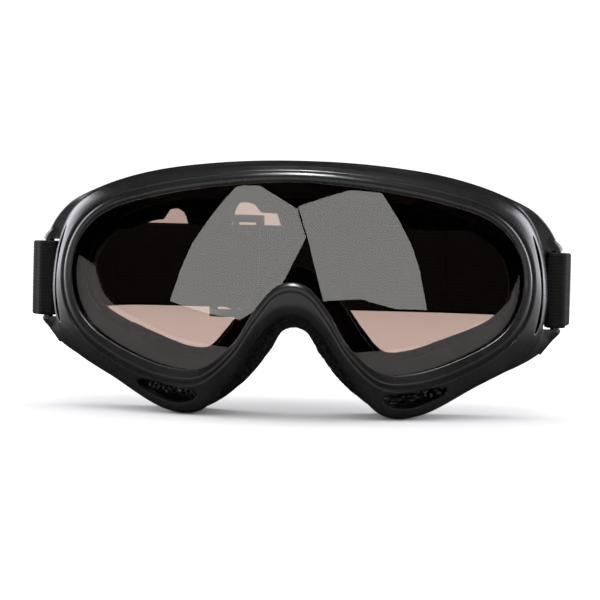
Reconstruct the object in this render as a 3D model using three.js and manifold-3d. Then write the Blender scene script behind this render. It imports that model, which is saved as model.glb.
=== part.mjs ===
// Motorcycle goggles: a flexible moulded frame, one wide cylindrical lens, a face foam,
// filter foams in the vents and an elastic head strap with a slider.
// Millimetres. +Z is up, the lens faces -Y, and +X is to the right as seen from the front.
import * as THREE from "three";
import { mergeVertices } from "three/addons/utils/BufferGeometryUtils.js";
import Module from "manifold-3d";

const wasm = await Module();
wasm.setup();

// Driving dimensions
const LENS_RADIUS = 135; // the lens is a piece of a vertical cylinder
const LENS_THICKNESS = 1.8;
const LENS_FRONT = 2.0; // lens face behind the bead's base
const LENS_CLEARANCE = 0.25; // all round the lens in its groove
const GROOVE_DEPTH = 2.6;
const GROOVE_LIP = 1.8; // thickness of the lip that holds the lens from behind
const LIP_INSET = 0.3; // that lip stands back from the front one by this much
const BEAD_HALF = 1.3; // half width of the bead round the lens
const BEAD_SHARE = 0.2; // the same as a share of the band, where the band is narrow
const BEAD_RISE = 0.6;
const WALL = 2.2; // moulded wall of the frame
const RIM_LIP = 2.2; // thickness of the rear rim's edge
const RIM_SLOPE = 5; // depth over which the wall widens to the rear rim
const FLANGE_THICKNESS = 1.9;
const FLANGE_CENTRE = 22.5; // depth of the rear flange on the centre line
const FLANGE_SWEEP = 25; // extra depth of the flange at FLANGE_HALF_WIDTH
const FLANGE_HALF_WIDTH = 87;
const NOSE_ADVANCE = 6; // how far the flange comes forward at the nose
const FOAM_THICKNESS = 12;
const GAP = 0.3; // between pieces that touch
const STEPS = 4; // stations between two control points of an outline

const BAR_X = 86.6;
const BAR_Y = 47.3;
const BAR_RADIUS = 1.6;
const STRAP_THICKNESS = 1.5;
const STRAP_WIDTH_AT_BAR = 25.4;
const STRAP_WIDTH = 31;
const STRAP_Z_AT_BAR = 42.3;
const STRAP_Z = 47.3;
const STRAP_BACK_Y = 111;
const STRAP_FLAT = 50; // half length of the straight stretch behind the head
const RISE_START_Y = 90; // between these depths the strap rises and widens
const RISE_END_Y = 110.5;
const LAYER_PITCH = 2.1; // from the strap to its doubled layer
const LOOP_PLAY = 1.8; // room for the bar to tilt inside a strap loop
const NOTCH_CLEARANCE = 0.6;
const BAR_ANCHOR = 1; // how far each end of a bar runs on in its horn
const NOTCH_FLOOR = 82.4; // the notch's flat inner side
const NOTCH_FRONT = 38.5;
const HALF_WIDTH = 95; // past the widest point of everything

const SLIDER_X = -28;
const SLIDER_LENGTH = 20;
const SLIDER_RAIL = 2.8;
const SLIDER_BAR = 3.2;
const CENTRE_BAR_RADIUS = 1.2;
const SLIDER_PRESS = 0.25; // how far the slider presses the strap towards the head

const DEPTH_CENTRE = 56.88; // middle of the depth from the bead to the back of the slider

// Outlines seen from the front, from the top centre clockwise to the nose centre, as [x, z].
// Every list has the same stations, so that the moulding can be lofted between them.
const OPENING = [
  [0, 75.1], [25, 73.3], [47, 69.7], [62, 65], [70.2, 58.2], [74.1, 49], [73.4, 37.5], [67.5, 28],
  [52, 19.2], [37.5, 15], [28.5, 15.3], [19, 23], [11.6, 34.6], [5, 42], [0, 43.4],
];
const EDGE = [
  [0, 81.4], [26, 80], [50, 76.5], [66.5, 72.6], [76, 66], [81.6, 53], [82.9, 36], [78.3, 21.8],
  [58.5, 9.7], [40.5, 0.75], [29.6, 1], [18.8, 12], [9.9, 25.8], [4.4, 31.5], [0, 32.4],
];
const RIM = [
  [0, 83], [26, 82], [50, 78.8], [67.5, 73.6], [80.3, 66.9], [87.5, 55.5], [87.8, 29.5], [81.5, 21],
  [59, 9.9], [40.5, 1], [29.4, 1.2], [18.6, 11.4], [9.6, 24.6], [4.4, 30], [0, 31],
];
const SEAT = [
  [0, 71], [25, 70.5], [45, 68.5], [60, 63], [68.5, 55], [71.5, 46.5], [71, 38], [65, 31],
  [49, 23], [37, 18.5], [29.5, 18.7], [22.5, 26], [15.5, 36.5], [8, 44.5], [0, 47],
];
const FOAM_OUTER = [
  [0, 81.8], [26, 80.8], [50, 77.6], [66.5, 72.5], [77.5, 65.2], [81.6, 54.5], [81.8, 32], [79.6, 22],
  [59, 10.6], [40.2, 0.85], [30, 0.85], [17.6, 9], [8.4, 20], [4.2, 26.8], [0, 28.4],
];
const FOAM_INNER = [
  [0, 62], [24, 62], [43, 62], [57.5, 61], [67, 53.5], [70, 46], [69.5, 38], [64, 32],
  [48, 25], [36, 21], [29, 21], [23, 27], [16.5, 36], [9, 45], [0, 48.5],
];
// Depth of the front edge behind the lens cylinder, how deep the groove beside the bead is, and how
// much farther from the lens the bead's crest stands under the cheeks
const EDGE_DEPTH = [6.5, 6.5, 7, 7.5, 8, 8, 8, 8.5, 9, 9, 8.5, 7.5, 6.5, 6, 6];
const GROOVE = [0.3, 0.4, 0.8, 1.6, 2, 2, 2, 1.8, 1.4, 0.8, 0.4, 0.2, 0.1, 0, 0];
const BEVEL = [0, 0, 0, 0, 0, 0, 0.2, 1, 1.6, 1.6, 1, 0.3, 0, 0, 0];

const lensSag = (x) => LENS_RADIUS - Math.sqrt(LENS_RADIUS ** 2 - x ** 2);

function flangeDepth(x, z) {
  const nose = Math.exp(-((x / 16) ** 2)) * THREE.MathUtils.smoothstep(60 - z, 8, 28);
  return FLANGE_CENTRE + FLANGE_SWEEP * (x / FLANGE_HALF_WIDTH) ** 2 - NOSE_ADVANCE * nose;
}

// A closed smooth outline from its right half, mirrored about the centre line
function outline(half) {
  const left = half.slice(1, -1).reverse().map(([x, z]) => [-x, z]);
  const points = [...half, ...left].map(([x, z]) => new THREE.Vector3(x, 0, z));
  const curve = new THREE.CatmullRomCurve3(points, true, "centripetal");
  const count = points.length * STEPS;
  return Array.from({ length: count }, (_, i) => curve.getPoint(i / count));
}

// A value for every station, from the values at the control points of the right half
function alongOutline(half) {
  const all = [...half, ...half.slice(1, -1).reverse()];
  return Array.from({ length: all.length * STEPS }, (_, i) => {
    const k = Math.floor(i / STEPS);
    const t = (i % STEPS) / STEPS;
    return THREE.MathUtils.lerp(all[k], all[(k + 1) % all.length], t);
  });
}

const opening = outline(OPENING);
const STATIONS = opening.length;

// Outward direction of the lens opening at each station, in the XZ plane
const outward = opening.map((_, i) => {
  const before = opening[(i + STATIONS - 1) % STATIONS];
  const after = opening[(i + 1) % STATIONS];
  return new THREE.Vector3(-(after.z - before.z), 0, after.x - before.x).normalize();
});

const point = (p, y) => new THREE.Vector3(p.x, y, p.z);
const moved = (p, direction, distance) => p.clone().addScaledVector(direction, distance);

// ---- Solids ------------------------------------------------------------------------------

function geometryOf(positions, triangles) {
  const geometry = new THREE.BufferGeometry();
  geometry.setAttribute("position", new THREE.Float32BufferAttribute(positions.flat(), 3));
  geometry.setIndex(triangles.flat());
  return geometry;
}

// Rings of points joined in order. A closed loft comes back to its first ring; an open one is capped.
function loft(rings, closed) {
  const width = rings[0].length;
  const triangles = [];
  const last = closed ? rings.length : rings.length - 1;
  for (let i = 0; i < last; i++) {
    for (let j = 0; j < width; j++) {
      const a = i * width + j;
      const b = i * width + ((j + 1) % width);
      const c = ((i + 1) % rings.length) * width + j;
      const d = ((i + 1) % rings.length) * width + ((j + 1) % width);
      triangles.push([a, b, d], [a, d, c]);
    }
  }
  if (!closed) {
    const end = (rings.length - 1) * width;
    for (let j = 1; j < width - 1; j++) {
      triangles.push([0, j + 1, j], [end, end + j, end + j + 1]);
    }
  }
  return facingOut(rings.flat().map((p) => [p.x, p.y, p.z]), triangles);
}

// Turns every triangle round if the solid's faces point inwards
function facingOut(positions, triangles) {
  let volume = 0;
  for (const [a, b, c] of triangles) {
    const [p, q, r] = [a, b, c].map((k) => new THREE.Vector3(...positions[k]));
    volume += p.dot(q.cross(r));
  }
  const faces = volume > 0 ? triangles : triangles.map(([a, b, c]) => [a, c, b]);
  return geometryOf(positions, faces);
}

function solid(geometry) {
  const bare = geometry.clone();
  bare.deleteAttribute("normal");
  bare.deleteAttribute("uv");
  const merged = mergeVertices(bare, 1e-4);
  return new wasm.Manifold(new wasm.Mesh({
    numProp: 3,
    vertProperties: new Float32Array(merged.attributes.position.array),
    triVerts: new Uint32Array(merged.index.array),
  }));
}

function geometryFrom(manifold) {
  const mesh = manifold.getMesh();
  const geometry = new THREE.BufferGeometry();
  geometry.setAttribute("position", new THREE.BufferAttribute(mesh.vertProperties, 3));
  geometry.setIndex(new THREE.BufferAttribute(mesh.triVerts, 1));
  return geometry;
}

// A prism whose outline is given as [x, z] and which runs along Y
function prismAlongY(points, y0, y1) {
  const shape = new THREE.Shape(points.map(([x, z]) => new THREE.Vector2(x, z)));
  const geometry = new THREE.ExtrudeGeometry(shape, { depth: y1 - y0, bevelEnabled: false });
  return geometry.rotateX(Math.PI / 2).translate(0, y1, 0);
}

// A prism whose outline is given as [x, y] and which runs along Z
function prismAlongZ(points, z0, z1) {
  const shape = new THREE.Shape(points.map(([x, y]) => new THREE.Vector2(x, y)));
  const geometry = new THREE.ExtrudeGeometry(shape, { depth: z1 - z0, bevelEnabled: false });
  return geometry.translate(0, 0, z0);
}

function box(x0, x1, y0, y1, z0, z1) {
  const geometry = new THREE.BoxGeometry(x1 - x0, y1 - y0, z1 - z0);
  return geometry.translate((x0 + x1) / 2, (y0 + y1) / 2, (z0 + z1) / 2);
}

const mirrorX = (points) => points.map(([x, z]) => [-x, z]).reverse();

// ---- Frame -------------------------------------------------------------------------------

const LENS_BACK = LENS_FRONT + LENS_THICKNESS;

function frameRing() {
  const edge = outline(EDGE);
  const rim = outline(RIM);
  const seat = outline(SEAT);
  const edgeDepth = alongOutline(EDGE_DEPTH);
  const groove = alongOutline(GROOVE);
  const bevel = alongOutline(BEVEL);
  return opening.map((lip, i) => {
    const out = outward[i];
    const band = edge[i].clone().sub(lip);
    const width = band.length();
    const across = band.clone().normalize();
    const at = (distance, depth) => {
      const p = moved(lip, across, distance);
      return point(p, lensSag(p.x) + depth);
    };
    const behind = (distance, depth) => {
      const p = moved(lip, out, distance);
      return point(p, lensSag(p.x) + depth);
    };
    const depth = edgeDepth[i];
    const bead = Math.min(BEAD_HALF, BEAD_SHARE * width);
    const edgeY = lensSag(edge[i].x) + depth;
    const wall = moved(edge[i], across, -WALL);
    const seatY = flangeDepth(seat[i].x, seat[i].z);
    const rimY = flangeDepth(rim[i].x, rim[i].z);
    const wallFlange = flangeDepth(wall.x, wall.z) - FLANGE_THICKNESS;
    return [
      at(0, LENS_FRONT - LENS_CLEARANCE),
      at(0.1, 0.4),
      at(bead + bevel[i], -BEAD_RISE),
      at(2 * bead + bevel[i], -BEAD_RISE / 2),
      at(2.5 * bead + bevel[i], 0.2 + 0.5 * groove[i]),
      at(3 * bead + bevel[i], 0.1),
      at(0.7 * width, 0.1 + 0.16 * depth),
      at(0.92 * width, 0.5 * depth),
      point(edge[i], edgeY),
      point(edge[i], Math.max(edgeY + 1, rimY - RIM_SLOPE)),
      point(rim[i], rimY - RIM_LIP),
      point(rim[i], rimY),
      point(seat[i], seatY),
      point(seat[i], seatY - FLANGE_THICKNESS),
      point(wall, wallFlange),
      point(wall, lensSag(wall.x) + depth + 1.6),
      behind(LIP_INSET, LENS_BACK + LENS_CLEARANCE + GROOVE_LIP),
      behind(LIP_INSET, LENS_BACK + LENS_CLEARANCE),
      behind(GROOVE_DEPTH, LENS_BACK + LENS_CLEARANCE),
      behind(GROOVE_DEPTH, LENS_FRONT - LENS_CLEARANCE),
    ];
  });
}

const LOWER_VENT = [
  [49.8, 10.7], [37.3, 8.9], [31, 7.9], [29.9, 6.4], [33, 4.3], [38.5, 3.9], [45, 6.2], [49.9, 9],
];
const LOWER_VENT_REACH = [-2, 20]; // the cut's front and back
const SIDE_SLIT = [
  [77.2, 60.3], [79.6, 54.5], [80.9, 47], [81.1, 38], [80.3, 31], [78.8, 28], [79.5, 32],
  [80.5, 38.5], [80.3, 46.5], [78.9, 53.5],
];
const SIDE_SLIT_REACH = [15, 40.5];
const TOP_VENT_CENTRES = [13, 32, 50];
const TOP_VENT_LENGTH = 14;
const TOP_VENT_WIDTH = 4.4;
const TOP_VENT_REACH = [73.5, 86]; // the cut's bottom and top
const ROUND_STEPS = 8;

// A slot with round ends, its middle on the top wall at x, turned to follow the wall
function topVent(x) {
  const y = (lensSag(x) + 9 + flangeDepth(x, 80) - RIM_SLOPE) / 2;
  const slope = Math.atan2(lensSag(x + 1) - lensSag(x - 1), 2);
  const radius = TOP_VENT_WIDTH / 2;
  const half = TOP_VENT_LENGTH / 2 - radius;
  const roundEnd = (centre, start) => Array.from({ length: ROUND_STEPS + 1 }, (_, k) => {
    const turn = start + (k * Math.PI) / ROUND_STEPS;
    return [centre + radius * Math.cos(turn), radius * Math.sin(turn)];
  });
  const points = [...roundEnd(half, -Math.PI / 2), ...roundEnd(-half, Math.PI / 2)];
  const [c, s] = [Math.cos(slope), Math.sin(slope)];
  return points.map(([u, v]) => [x + u * c - v * s, y + u * s + v * c]);
}

const NOTCH_LOW = STRAP_Z_AT_BAR - STRAP_WIDTH_AT_BAR / 2 - NOTCH_CLEARANCE;
const NOTCH_HIGH = STRAP_Z_AT_BAR + STRAP_WIDTH_AT_BAR / 2 + NOTCH_CLEARANCE;

function strapBar(side) {
  const length = NOTCH_HIGH - NOTCH_LOW + 2 * BAR_ANCHOR;
  const geometry = new THREE.CylinderGeometry(BAR_RADIUS, BAR_RADIUS, length, 16);
  return geometry.rotateX(Math.PI / 2).translate(side * BAR_X, BAR_Y, (NOTCH_LOW + NOTCH_HIGH) / 2);
}

// Section of a horn where it holds the strap bar, as [x, y]
const HORN_SECTION = [
  [82.3, 43.2], [85, 43.4], [87, 44.4], [88.3, 46], [88.6, 47.8], [87.6, 49.3], [86, 49.8],
  [84.6, 48.8], [82.3, 47],
];
const HORN_ROOT = [81.2, 43.6]; // where the horn has run out in the rim, as [x, y]
// Height from the notch, and how far the horn has run out towards its root
const HORN_LEVELS = [[0, 0], [1.2, 0.04], [4, 0.4], [8.5, 0.9]];

// The horn that carries one end of a strap bar: up or down from the notch it dies into the rim
function horn(side, z, up) {
  const rings = HORN_LEVELS.map(([rise, share]) => HORN_SECTION.map(([x, y]) => new THREE.Vector3(
    side * THREE.MathUtils.lerp(x, HORN_ROOT[0], share),
    THREE.MathUtils.lerp(y, HORN_ROOT[1], share),
    z + up * rise,
  )));
  return loft(rings, false);
}

function frameGeometry() {
  let body = solid(loft(frameRing(), true));
  for (const side of [1, -1]) {
    body = body.add(solid(horn(side, NOTCH_HIGH, 1)));
    body = body.add(solid(horn(side, NOTCH_LOW, -1)));
    const [x0, x1] = side > 0 ? [NOTCH_FLOOR, HALF_WIDTH] : [-HALF_WIDTH, -NOTCH_FLOOR];
    body = body.subtract(solid(box(x0, x1, NOTCH_FRONT, NOTCH_FRONT + 24, NOTCH_LOW, NOTCH_HIGH)));
    body = body.add(solid(strapBar(side)));
    const flip = side > 0 ? (p) => p : mirrorX;
    body = body.subtract(solid(prismAlongY(flip(LOWER_VENT), ...LOWER_VENT_REACH)));
    body = body.subtract(solid(prismAlongY(flip(SIDE_SLIT), ...SIDE_SLIT_REACH)));
    for (const x of TOP_VENT_CENTRES) {
      body = body.subtract(solid(prismAlongZ(topVent(side * x), ...TOP_VENT_REACH)));
    }
  }
  return geometryFrom(body);
}

// ---- Lens --------------------------------------------------------------------------------

const LENS_MIDDLE = 57; // height of the point that the lens's rings shrink to
const LENS_RINGS = [0.3, 0.62, 0.85];

function lensGeometry() {
  const centre = new THREE.Vector3(0, 0, LENS_MIDDLE);
  const lensEdge = opening.map((p, i) => moved(p, outward[i], GROOVE_DEPTH - LENS_CLEARANCE));
  const inner = opening.map((p, i) => moved(p, outward[i], -1));
  const face = [...LENS_RINGS.map((t) => inner.map((p) => centre.clone().lerp(p, t))), inner, lensEdge];
  const onFace = (p, depth) => [p.x, lensSag(p.x) + depth, p.z];
  const rows = [...face.map((row) => [row, LENS_FRONT]), ...face.toReversed().map((row) => [row, LENS_BACK])];
  const positions = rows.flatMap(([row, depth]) => row.map((p) => onFace(p, depth)));
  positions.push(onFace(centre, LENS_FRONT), onFace(centre, LENS_BACK));
  const triangles = [];
  const end = (rows.length - 1) * STATIONS;
  for (let i = 0; i < STATIONS; i++) {
    const next = (i + 1) % STATIONS;
    for (let r = 0; r < rows.length - 1; r++) {
      const a = r * STATIONS;
      const b = a + STATIONS;
      triangles.push([a + i, a + next, b + next], [a + i, b + next, b + i]);
    }
    triangles.push([positions.length - 2, next, i], [positions.length - 1, end + i, end + next]);
  }
  return facingOut(positions, triangles);
}

// ---- Foams -------------------------------------------------------------------------------

const FOAM_ROUNDING = 0.12; // share of the foam's width that its back edges are rounded by
const FOAM_SIDE = 0.8; // share of its thickness where the rounding starts

function faceFoamGeometry() {
  const outer = outline(FOAM_OUTER);
  const inner = outline(FOAM_INNER);
  const rings = outer.map((o, i) => {
    const n = inner[i];
    const rounded = o.clone().lerp(n, FOAM_ROUNDING);
    const roundedIn = n.clone().lerp(o, FOAM_ROUNDING);
    const front = (p) => flangeDepth(p.x, p.z) + GAP;
    return [
      point(o, front(o)),
      point(o, front(o) + FOAM_SIDE * FOAM_THICKNESS),
      point(rounded, front(rounded) + FOAM_THICKNESS),
      point(roundedIn, front(roundedIn) + FOAM_THICKNESS),
      point(n, front(n) + FOAM_SIDE * FOAM_THICKNESS),
      point(n, front(n)),
    ];
  });
  return loft(rings, true);
}

// A strip of filter foam between x0 and x1, with its section given by low and high corners at x
function stripGeometry(x0, x1, steps, section) {
  const rings = Array.from({ length: steps + 1 }, (_, i) => {
    const x = THREE.MathUtils.lerp(x0, x1, i / steps);
    const { y0, y1, z0, z1 } = section(x);
    return [[y0, z0], [y1, z0], [y1, z1], [y0, z1]].map(([y, z]) => new THREE.Vector3(x, y, z));
  });
  return loft(rings, false);
}

const TOP_FOAM = { from: 5, to: 58, steps: 10, thickness: 2.5, height: 78.35, fall: 0.0018 };

// Lies just under the top wall, whose height falls off towards the temples
function topVentFoam(side) {
  const { from, to, steps, thickness, height, fall } = TOP_FOAM;
  return stripGeometry(side * from, side * to, steps, (x) => ({
    y0: lensSag(x) + 9.2,
    y1: flangeDepth(x, 80) - FLANGE_THICKNESS - 0.8,
    z0: height - fall * x * x - thickness,
    z1: height - fall * x * x,
  }));
}

const LOWER_FOAM = { from: 29.5, to: 49.5, steps: 6, front: 11.6, thickness: 2.8, low: 3.6, high: 10 };

// Stands behind the lower vent, rising a little outwards as the vent does
function lowerVentFoam(side) {
  const { from, to, steps, front, thickness, low, high } = LOWER_FOAM;
  return stripGeometry(side * from, side * to, steps, (x) => {
    const rise = 0.12 * (Math.abs(x) - from);
    const y0 = lensSag(x) + front;
    return { y0, y1: y0 + thickness, z0: low + 1.6 * rise, z1: high + rise };
  });
}

// ---- Strap -------------------------------------------------------------------------------

const HALF_THICKNESS = STRAP_THICKNESS / 2;
const WRAP_GAP = 0.35; // between a bar and the webbing that goes round it
const LOOP_RADIUS = BAR_RADIUS + WRAP_GAP + HALF_THICKNESS;
const LOOP_Y = BAR_Y - LOOP_PLAY;

function arc(cx, cy, radius, from, to, steps) {
  return Array.from({ length: steps + 1 }, (_, i) => {
    const turn = from + ((to - from) * i) / steps;
    return new THREE.Vector2(cx + radius * Math.cos(turn), cy + radius * Math.sin(turn));
  });
}

// Round the bar on the right side, from the inner strand forwards to the outer strand
const barLoop = () => arc(BAR_X, LOOP_Y, LOOP_RADIUS, Math.PI, 2 * Math.PI, 8);

// The outer strand from the bar back to the straight stretch, drawn on the right side as [x, y].
// Both sides are equally wide; the single layer bows out right behind its bar, the doubled one later.
const SINGLE_SIDE = [[91.9, 50], [92.9, 58], [92.6, 70], [89.3, 86], [80, 100], [65, 109]];
const DOUBLED_SIDE = [[89.7, 50], [90.7, 60], [92.6, 73], [93.3, 84], [88.5, 97], [75, 107]];
const ROUTE_STEPS = 20;

function sideRoute(middle) {
  const ends = [[BAR_X + LOOP_RADIUS, LOOP_Y], [STRAP_FLAT, STRAP_BACK_Y]];
  const points = [ends[0], ...middle, ends[1]].map(([x, y]) => new THREE.Vector3(x, y, 0));
  const curve = new THREE.CatmullRomCurve3(points, false, "centripetal");
  return curve.getSpacedPoints(ROUTE_STEPS).map((p) => new THREE.Vector2(p.x, p.y));
}

function pathNormals(path) {
  return path.map((_, i) => {
    const a = path[Math.max(i - 1, 0)];
    const b = path[Math.min(i + 1, path.length - 1)];
    return new THREE.Vector2(-(b.y - a.y), b.x - a.x).normalize();
  });
}

// A parallel path beside the given one
function beside(path, distance) {
  const normals = pathNormals(path);
  return path.map((p, i) => p.clone().addScaledVector(normals[i], distance));
}

// How far back a point of the strap is: 0 at the bars, 1 behind the head
const backness = (p) => THREE.MathUtils.smoothstep(p.y, RISE_START_Y, RISE_END_Y);

// A flat band of webbing standing on edge along a path in the XY plane
function ribbon(path, thickness, width) {
  const normals = pathNormals(path);
  const rings = path.map((p, i) => {
    const share = backness(p);
    const middle = THREE.MathUtils.lerp(STRAP_Z_AT_BAR, STRAP_Z, share);
    const half = (width ?? THREE.MathUtils.lerp(STRAP_WIDTH_AT_BAR, STRAP_WIDTH, share)) / 2;
    const side = normals[i].clone().multiplyScalar(thickness / 2);
    const corner = (sign, z) => new THREE.Vector3(p.x + sign * side.x, p.y + sign * side.y, z);
    const [low, high] = [middle - half, middle + half];
    return [corner(1, low), corner(1, high), corner(-1, high), corner(-1, low)];
  });
  return loft(rings, false);
}

const mirrored = (path) => path.map((p) => new THREE.Vector2(-p.x, p.y)).reverse();

// The inner strand behind the bar, which comes to lie against the outer one
function innerStrand(middle, count) {
  const start = [[BAR_X - LOOP_RADIUS, LOOP_Y], [BAR_X - LOOP_RADIUS, BAR_Y + 2.4]];
  const parallel = beside(sideRoute(middle), LAYER_PITCH).slice(3, count);
  return [...start.map(([x, y]) => new THREE.Vector2(x, y)), ...parallel];
}

const SEWN_STATIONS = 8;

// From the sewn end round the left bar, behind the head through the slider, and round the right bar
function webbingPath() {
  const sewnEnd = innerStrand(SINGLE_SIDE, SEWN_STATIONS).slice(1).reverse();
  const single = mirrored([...sewnEnd, ...barLoop(), ...sideRoute(SINGLE_SIDE).slice(1)]).reverse();
  const doubled = [...barLoop(), ...sideRoute(DOUBLED_SIDE).slice(1)].reverse();
  const half = SLIDER_LENGTH / 2;
  const pressed = [-half - 3, -half - 1, half + 1, half + 3].map((offset, k) => {
    const depth = k === 0 || k === 3 ? 0 : SLIDER_PRESS;
    return new THREE.Vector2(SLIDER_X + offset, STRAP_BACK_Y - depth);
  });
  return [...single, ...pressed, ...doubled];
}

const WRAP_RADIUS = CENTRE_BAR_RADIUS + WRAP_GAP + HALF_THICKNESS;
const CENTRE_BAR_Y = STRAP_BACK_Y - LAYER_PITCH - HALF_THICKNESS - 0.2 - CENTRE_BAR_RADIUS;
const WRAP_TAIL = 13;

// From the right bar along the inside of the strap, round the slider's centre bar and back
function returnPath() {
  const lead = innerStrand(DOUBLED_SIDE, ROUTE_STEPS + 1).slice(1);
  const wrap = arc(SLIDER_X, CENTRE_BAR_Y, WRAP_RADIUS, Math.PI / 2, (3 * Math.PI) / 2, 8);
  const tailY = CENTRE_BAR_Y - WRAP_RADIUS;
  const tail = [[5, 0.4], [WRAP_TAIL, 1.1]].map(([x, y]) => new THREE.Vector2(SLIDER_X + x, tailY + y));
  return [...lead, ...wrap, ...tail];
}

const SLIDER_PLAY = 0.9; // between the webbing's edges and the slider's end rails
const SLIDER_THICKNESS = 2.2;

function sliderGeometry() {
  const half = STRAP_WIDTH / 2 + SLIDER_PLAY;
  const [z0, z1] = [STRAP_Z - half, STRAP_Z + half];
  const x0 = SLIDER_X - SLIDER_LENGTH / 2;
  const x1 = SLIDER_X + SLIDER_LENGTH / 2;
  const backFace = STRAP_BACK_Y + HALF_THICKNESS + 0.4;
  const yBack = backFace + SLIDER_THICKNESS;
  const yFront = CENTRE_BAR_Y - CENTRE_BAR_RADIUS;
  let body = solid(box(x0, x0 + SLIDER_BAR, backFace, yBack, z0 - 1, z1 + 1));
  body = body.add(solid(box(x1 - SLIDER_BAR, x1, backFace, yBack, z0 - 1, z1 + 1)));
  for (const [low, high] of [[z0 - SLIDER_RAIL, z0], [z1, z1 + SLIDER_RAIL]]) {
    const arch = [
      [x0, yBack], [x0, backFace], [SLIDER_X - 3, yFront], [SLIDER_X + 3, yFront],
      [x1, backFace], [x1, yBack],
    ];
    body = body.add(solid(prismAlongZ(arch.toReversed(), low, high)));
  }
  const bar = new THREE.CylinderGeometry(CENTRE_BAR_RADIUS, CENTRE_BAR_RADIUS, z1 - z0 + 2, 16);
  bar.rotateX(Math.PI / 2).translate(SLIDER_X, CENTRE_BAR_Y, STRAP_Z);
  return geometryFrom(body.add(solid(bar)));
}

// A bar tack: a narrow band of close stitches right across the webbing, lying on its face
const TACK_THICKNESS = 0.6;
const TACK_MARGIN = 2.5; // from the tack's ends to the edges of the webbing
const TACK_OFFSET = HALF_THICKNESS + 0.15 + TACK_THICKNESS / 2;

function leftLoopTack() {
  const route = mirrored(beside(sideRoute(SINGLE_SIDE).slice(5, 7), -TACK_OFFSET)).reverse();
  return ribbon(route, TACK_THICKNESS, STRAP_WIDTH_AT_BAR - TACK_MARGIN);
}

function sliderLoopTack() {
  const y = CENTRE_BAR_Y - WRAP_RADIUS + 0.75 - TACK_OFFSET;
  const x = SLIDER_X + WRAP_TAIL / 2 + 1;
  const path = [new THREE.Vector2(x, y), new THREE.Vector2(x + 3, y)];
  return ribbon(path, TACK_THICKNESS, STRAP_WIDTH - TACK_MARGIN);
}

// ---- Assembly ----------------------------------------------------------------------------

const material = (color, roughness, metalness = 0) =>
  new THREE.MeshStandardMaterial({ color, roughness, metalness });
const framePlastic = material(0x1c1b1f, 0.38);
const lensPlastic = new THREE.MeshStandardMaterial({
  color: 0x6b5a4c, roughness: 0.05, transparent: true, opacity: 0.55,
});
const foam = material(0x141414, 0.95);
const webbing = material(0x1b1b20, 0.9);
const thread = material(0x26262b, 0.8);
const sliderPlastic = material(0x18181a, 0.45);

const goggles = new THREE.Group();
goggles.position.y = -DEPTH_CENTRE;

function piece(name, geometry, finish, parent = goggles) {
  const mesh = new THREE.Mesh(geometry, finish);
  mesh.name = name;
  parent.add(mesh);
  return mesh;
}

piece("frame", frameGeometry(), framePlastic);
piece("lens", lensGeometry(), lensPlastic);
piece("face_foam", faceFoamGeometry(), foam);
for (const [name, side] of [["right", 1], ["left", -1]]) {
  piece(`top_vent_foam_${name}`, topVentFoam(side), foam);
  piece(`lower_vent_foam_${name}`, lowerVentFoam(side), foam);
}

const strap = new THREE.Group();
goggles.add(strap);
piece("strap_webbing", ribbon(webbingPath(), STRAP_THICKNESS), webbing, strap);
piece("strap_return_layer", ribbon(returnPath(), STRAP_THICKNESS), webbing, strap);
piece("left_loop_stitching", leftLoopTack(), thread, strap);
piece("slider", sliderGeometry(), sliderPlastic, strap);
piece("slider_loop_stitching", sliderLoopTack(), thread, strap);

export default goggles;
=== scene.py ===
import itertools
import math
import bpy
import numpy as np
from mathutils import Matrix, Vector
from mathutils.bvhtree import BVHTree


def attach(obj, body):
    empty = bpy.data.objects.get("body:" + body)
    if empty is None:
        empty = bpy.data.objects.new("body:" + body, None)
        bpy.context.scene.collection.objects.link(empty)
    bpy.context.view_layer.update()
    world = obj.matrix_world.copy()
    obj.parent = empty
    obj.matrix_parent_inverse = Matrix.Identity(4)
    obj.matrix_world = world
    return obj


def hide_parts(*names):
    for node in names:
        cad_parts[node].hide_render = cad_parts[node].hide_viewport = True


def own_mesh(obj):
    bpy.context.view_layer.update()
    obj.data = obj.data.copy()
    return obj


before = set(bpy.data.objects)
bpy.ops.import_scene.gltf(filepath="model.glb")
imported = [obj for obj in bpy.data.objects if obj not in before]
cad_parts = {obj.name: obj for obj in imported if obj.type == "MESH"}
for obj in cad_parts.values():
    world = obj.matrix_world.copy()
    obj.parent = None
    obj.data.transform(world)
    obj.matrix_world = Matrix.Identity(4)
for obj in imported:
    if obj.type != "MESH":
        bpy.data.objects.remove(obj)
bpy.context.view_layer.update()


# Frame. One soft moulding of black thermoplastic elastomer: the bezel with its round bead, the lens
# groove, the outer wall, the rear flange that carries the foam, and the horns that hold the two strap
# bars. The vents and slits come out of the tool with rounded lips, and its skin has a fine satin grain.
MM = 0.001
DEPTH_CENTRE = 56.88  # from the foot of the bead back to the middle of the part
LENS_RADIUS = 135
LENS_FRONT = 2.0
LENS_BACK = 3.8
LENS_CLEARANCE = 0.25
GROOVE_DEPTH = 2.6
LIP_INSET, GROOVE_LIP = 0.3, 1.8  # the lip behind the lens: how far it stands back, its thickness
BEAD_HALF, BEAD_SHARE = 1.3, 0.2  # the bead's half width in mm, and at most this share of the band
BEAD_RISE = 0.6
WALL = 2.2
RIM_LIP, RIM_SLOPE = 2.2, 5  # thickness of the rim's edge, and the depth over which the wall widens
FLANGE_THICKNESS = 1.9
FLANGE_CENTRE, FLANGE_SWEEP, FLANGE_HALF_WIDTH = 22.5, 25, 87  # depth at the middle, more at the sides
NOSE_ADVANCE, NOSE_WIDTH = 6, 16  # how far the flange comes forward at the nose, and over what width
STEPS = 14  # stations between two control points of an outline

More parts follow.
